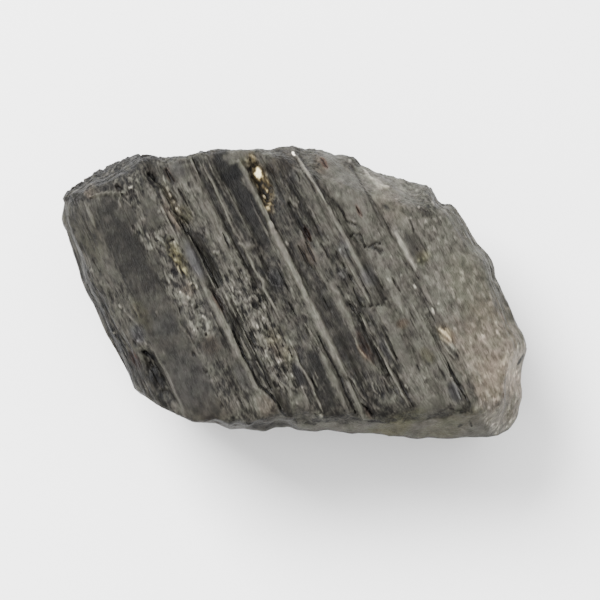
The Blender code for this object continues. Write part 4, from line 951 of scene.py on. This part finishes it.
# Schorl: an opaque, iron-rich tourmaline. Glassy when fresh, here a worn and weathered surface, dark grey
# with paler crests, satin along the fibres and dull where it is crumbled or stained. Its many hair cracks
# take most of the mirror-like share of the light away, so the specular level is far under a fresh face's. The
# sheen along the crests and the glints of small facets are painted into the tone instead, as lighter greys up
# to the near-white top shade.
SCHORL_SHADES = (
    (0.16, "#020202"),
    (0.28, "#161513"),
    (0.40, "#302f2b"),
    (0.52, "#44433e"),
    (0.64, "#5d5b55"),
    (0.76, "#84827a"),
    (0.88, "#bebcb1"),
    (1.00, "#fcf8ec"),
)
SCHORL_IOR = 1.64
SCHORL_SPECULAR = 0.05
SCHORL_ROUGHNESS = 0.49
THREAD = (0.42 * MM, 2.2 * MM)  # width and length of a thread of the fibrous places
HAIR = (0.17 * MM, 1.1 * MM)  # the finest fibres, drawn as coarse as it takes for them to show
SPECK = (0.26 * MM, 0.7 * MM)  # small light knots of the fibrous places
RULE = (0.30 * MM, 14 * MM)  # striations
FLAKE = (0.45 * MM, 0.75 * MM)  # flecks
GRIT_SIZE = 0.3 * MM
HUE_SIZE = 1.6 * MM
THREAD_SHADE = 0.11  # how far each lightens and darkens the skin
HAIR_SHADE = 0.08
RULE_SHADE = 0.08
FLAKE_SHADE = 0.22
GRIT_SHADE = 0.12
SPECK_SHADE = 0.13
LEAST_HAIRY = 0.2  # the share of hair and grit that the smoothest places keep
GRIT_ROUGHNESS = 0.3  # how far the grit changes the roughness
GRIT_RELIEF = 0.5  # its share in the fine relief, beside the hair
RELIEF_DEPTH = 0.05 * MM
RELIEF_STRENGTH = 0.5
HUE_SHADES = ((0.35, "#f6f8f0"), (0.65, "#faf4f2"))
TINT_SHADES = {"warm": "#ffede0", "olive": "#f4f3c8", "blue": "#e0e3f8", "rust": "#d8a092"}
STAIN_SHADES = ((0.16, "#080602"), (0.4, "#332b1a"), (0.6, "#655a3e"), (0.76, "#a3946c"), (0.9, "#ffeeb8"))

schorl = bpy.data.materials.new("weathered schorl")
schorl.use_nodes = True
tree = schorl.node_tree
tree.nodes.clear()
multiply_add = {"operation": "MULTIPLY_ADD"}
own = {name: node("Attribute", {"attribute_name": name}, "Fac") for name in own_values}
fibre_place = node("Attribute", {"attribute_name": "fibre place"}, "Vector")
place = node("TexCoord", output="Object")
grit = node("TexNoise", Vector=place, Scale=1 / GRIT_SIZE, Detail=3.0, Roughness=0.65)
grit = node("Math", {"operation": "SUBTRACT"}, _0=grit, _1=0.5)
hue = node("TexNoise", Vector=place, Scale=1 / HUE_SIZE, Detail=2.0, Roughness=0.6)

# Strands along the fibres, each kind from a noise stretched to its width and length: crisp light and dark
# ones from -1 to 1, and light specks from 0 to 1.
strands = {}
for name, (width, length), winding, low, high, least in (
    ("thread", THREAD, 0.9, 0.34, 0.66, -1.0),
    ("hair", HAIR, 0.3, 0.34, 0.66, -1.0),
    ("rule", RULE, 0.0, 0.34, 0.66, -1.0),
    ("speck", SPECK, 0.6, 0.57, 0.72, 0.0),
):
    scale = (1 / width, 1 / length, 1 / width)
    stretched = node("Mapping", Vector=fibre_place, Scale=scale)
    soft = node("TexNoise", Vector=stretched, Scale=1.0, Detail=2.0, Roughness=0.55, Distortion=winding)
    strands[name] = node("MapRange", Value=soft, From_Min=low, From_Max=high, To_Min=least, To_Max=1.0)
scale = (1 / FLAKE[0], 1 / FLAKE[1], 1 / FLAKE[0])
stretched = node("Mapping", Vector=fibre_place, Scale=scale)
flake = node("TexVoronoi", output="Color", Vector=stretched, Scale=1.0)
flake = node("SeparateColor", _0=flake)
flake = node("MapRange", Value=flake, To_Min=-0.5, To_Max=0.5)
hairy = node("Math", multiply_add, _0=own["fibrous"], _1=1 - LEAST_HAIRY, _2=LEAST_HAIRY)
fine = own["tone"]
for pattern, depth, mask in (
    (strands["thread"], THREAD_SHADE, own["fibrous"]),
    (strands["speck"], SPECK_SHADE, own["fibrous"]),
    (strands["rule"], RULE_SHADE, own["ruled"]),
    (flake, FLAKE_SHADE, own["flecked"]),
    (strands["hair"], HAIR_SHADE, hairy),
    (grit, GRIT_SHADE, hairy),
):
    masked = node("Math", {"operation": "MULTIPLY"}, _0=pattern, _1=mask)
    fine = node("Math", multiply_add, _0=masked, _1=depth, _2=fine)
fine = node("MapRange", Value=fine, From_Max=LIGHTEST)

# The tone picks the colour of plain and of stained schorl, and the tints are laid over the plain one.
shades = {}
for name, share, stops in (
    ("schorl", fine, SCHORL_SHADES),
    ("hue", hue, HUE_SHADES),
    ("stain", fine, STAIN_SHADES),
):
    shades[name] = node("ValToRGB", _0=share)
    scale_of_shades = shades[name].node.color_ramp.elements
    for _ in stops[2:]:
        scale_of_shades.new(0.5)
    for element, (position, shade) in zip(scale_of_shades, stops):
        element.position = position
        element.color = linear(shade)
multiply = {"data_type": "RGBA", "blend_type": "MULTIPLY"}
colour = node("Mix", multiply, 2, _0=1.0, _6=shades["schorl"], _7=shades["hue"])
for tint, shade in TINT_SHADES.items():
    colour = node("Mix", multiply, 2, _0=own[tint], _6=colour, _7=linear(shade))
colour = node("Mix", {"data_type": "RGBA"}, 2, _0=own["ochre"], _6=colour, _7=shades["stain"])

relief = node("Math", multiply_add, _0=grit, _1=GRIT_RELIEF, _2=strands["hair"])
shader = node(
    "BsdfPrincipled",
    Base_Color=colour,
    Roughness=node("Math", multiply_add, _0=grit, _1=GRIT_ROUGHNESS, _2=SCHORL_ROUGHNESS),
    Normal=node("Bump", Strength=RELIEF_STRENGTH, Distance=RELIEF_DEPTH, Height=relief),
    IOR=SCHORL_IOR,
    Specular_IOR_Level=SCHORL_SPECULAR,
)
tree.links.new(shader, tree.nodes.new("ShaderNodeOutputMaterial").inputs["Surface"])

crystal.data.materials.clear()
crystal.data.materials.append(schorl)
bpy.ops.object.shade_smooth_by_angle(angle=math.radians(SMOOTH_UNDER))
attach(crystal, "root")
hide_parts("tourmaline_crystal")


# The floor and the light: a large sheet of plain white paper, a softbox above on the upper left, and an
# even white room, so that the piece has a soft shadow on its lower right.
FLOOR_SIDE = 3.0
PAPER_WHITE = "#f7f7f7"
PAPER_ROUGHNESS = 0.9
LIGHT_SIDE = 0.5
LIGHT_DISTANCE = 0.8
LIGHT_LEFT, LIGHT_AWAY, LIGHT_UP = 0.75, 0.65, 1.1  # the way to the light, as the view sees it
LIGHT_POWER = 26.0  # watts
ROOM_STRENGTH = 2.1

bpy.ops.mesh.primitive_plane_add(size=FLOOR_SIDE)
floor = bpy.context.object
floor.name = "floor"
paper = bpy.data.materials.new("matt white paper")
paper.use_nodes = True
paper.node_tree.nodes["Principled BSDF"].inputs["Base Color"].default_value = linear(PAPER_WHITE)
paper.node_tree.nodes["Principled BSDF"].inputs["Roughness"].default_value = PAPER_ROUGHNESS
floor.data.materials.append(paper)

softbox = bpy.data.lights.new("softbox", "AREA")
softbox.size = LIGHT_SIDE
softbox.energy = LIGHT_POWER
softbox_holder = bpy.data.objects.new("softbox", softbox)
bpy.context.scene.collection.objects.link(softbox_holder)
towards_light = -LIGHT_LEFT * view_right + LIGHT_AWAY * view_away + Vector((0, 0, LIGHT_UP))
towards_light.normalize()
softbox_holder.matrix_world = Matrix.Translation(towards_light * LIGHT_DISTANCE) @ (
    towards_light.to_track_quat("Z", "Y").to_matrix().to_4x4()
)

room = bpy.data.worlds.new("white room")
room.use_nodes = True
room.node_tree.nodes["Background"].inputs["Color"].default_value = (1, 1, 1, 1)
room.node_tree.nodes["Background"].inputs["Strength"].default_value = ROOM_STRENGTH
bpy.context.scene.world = room
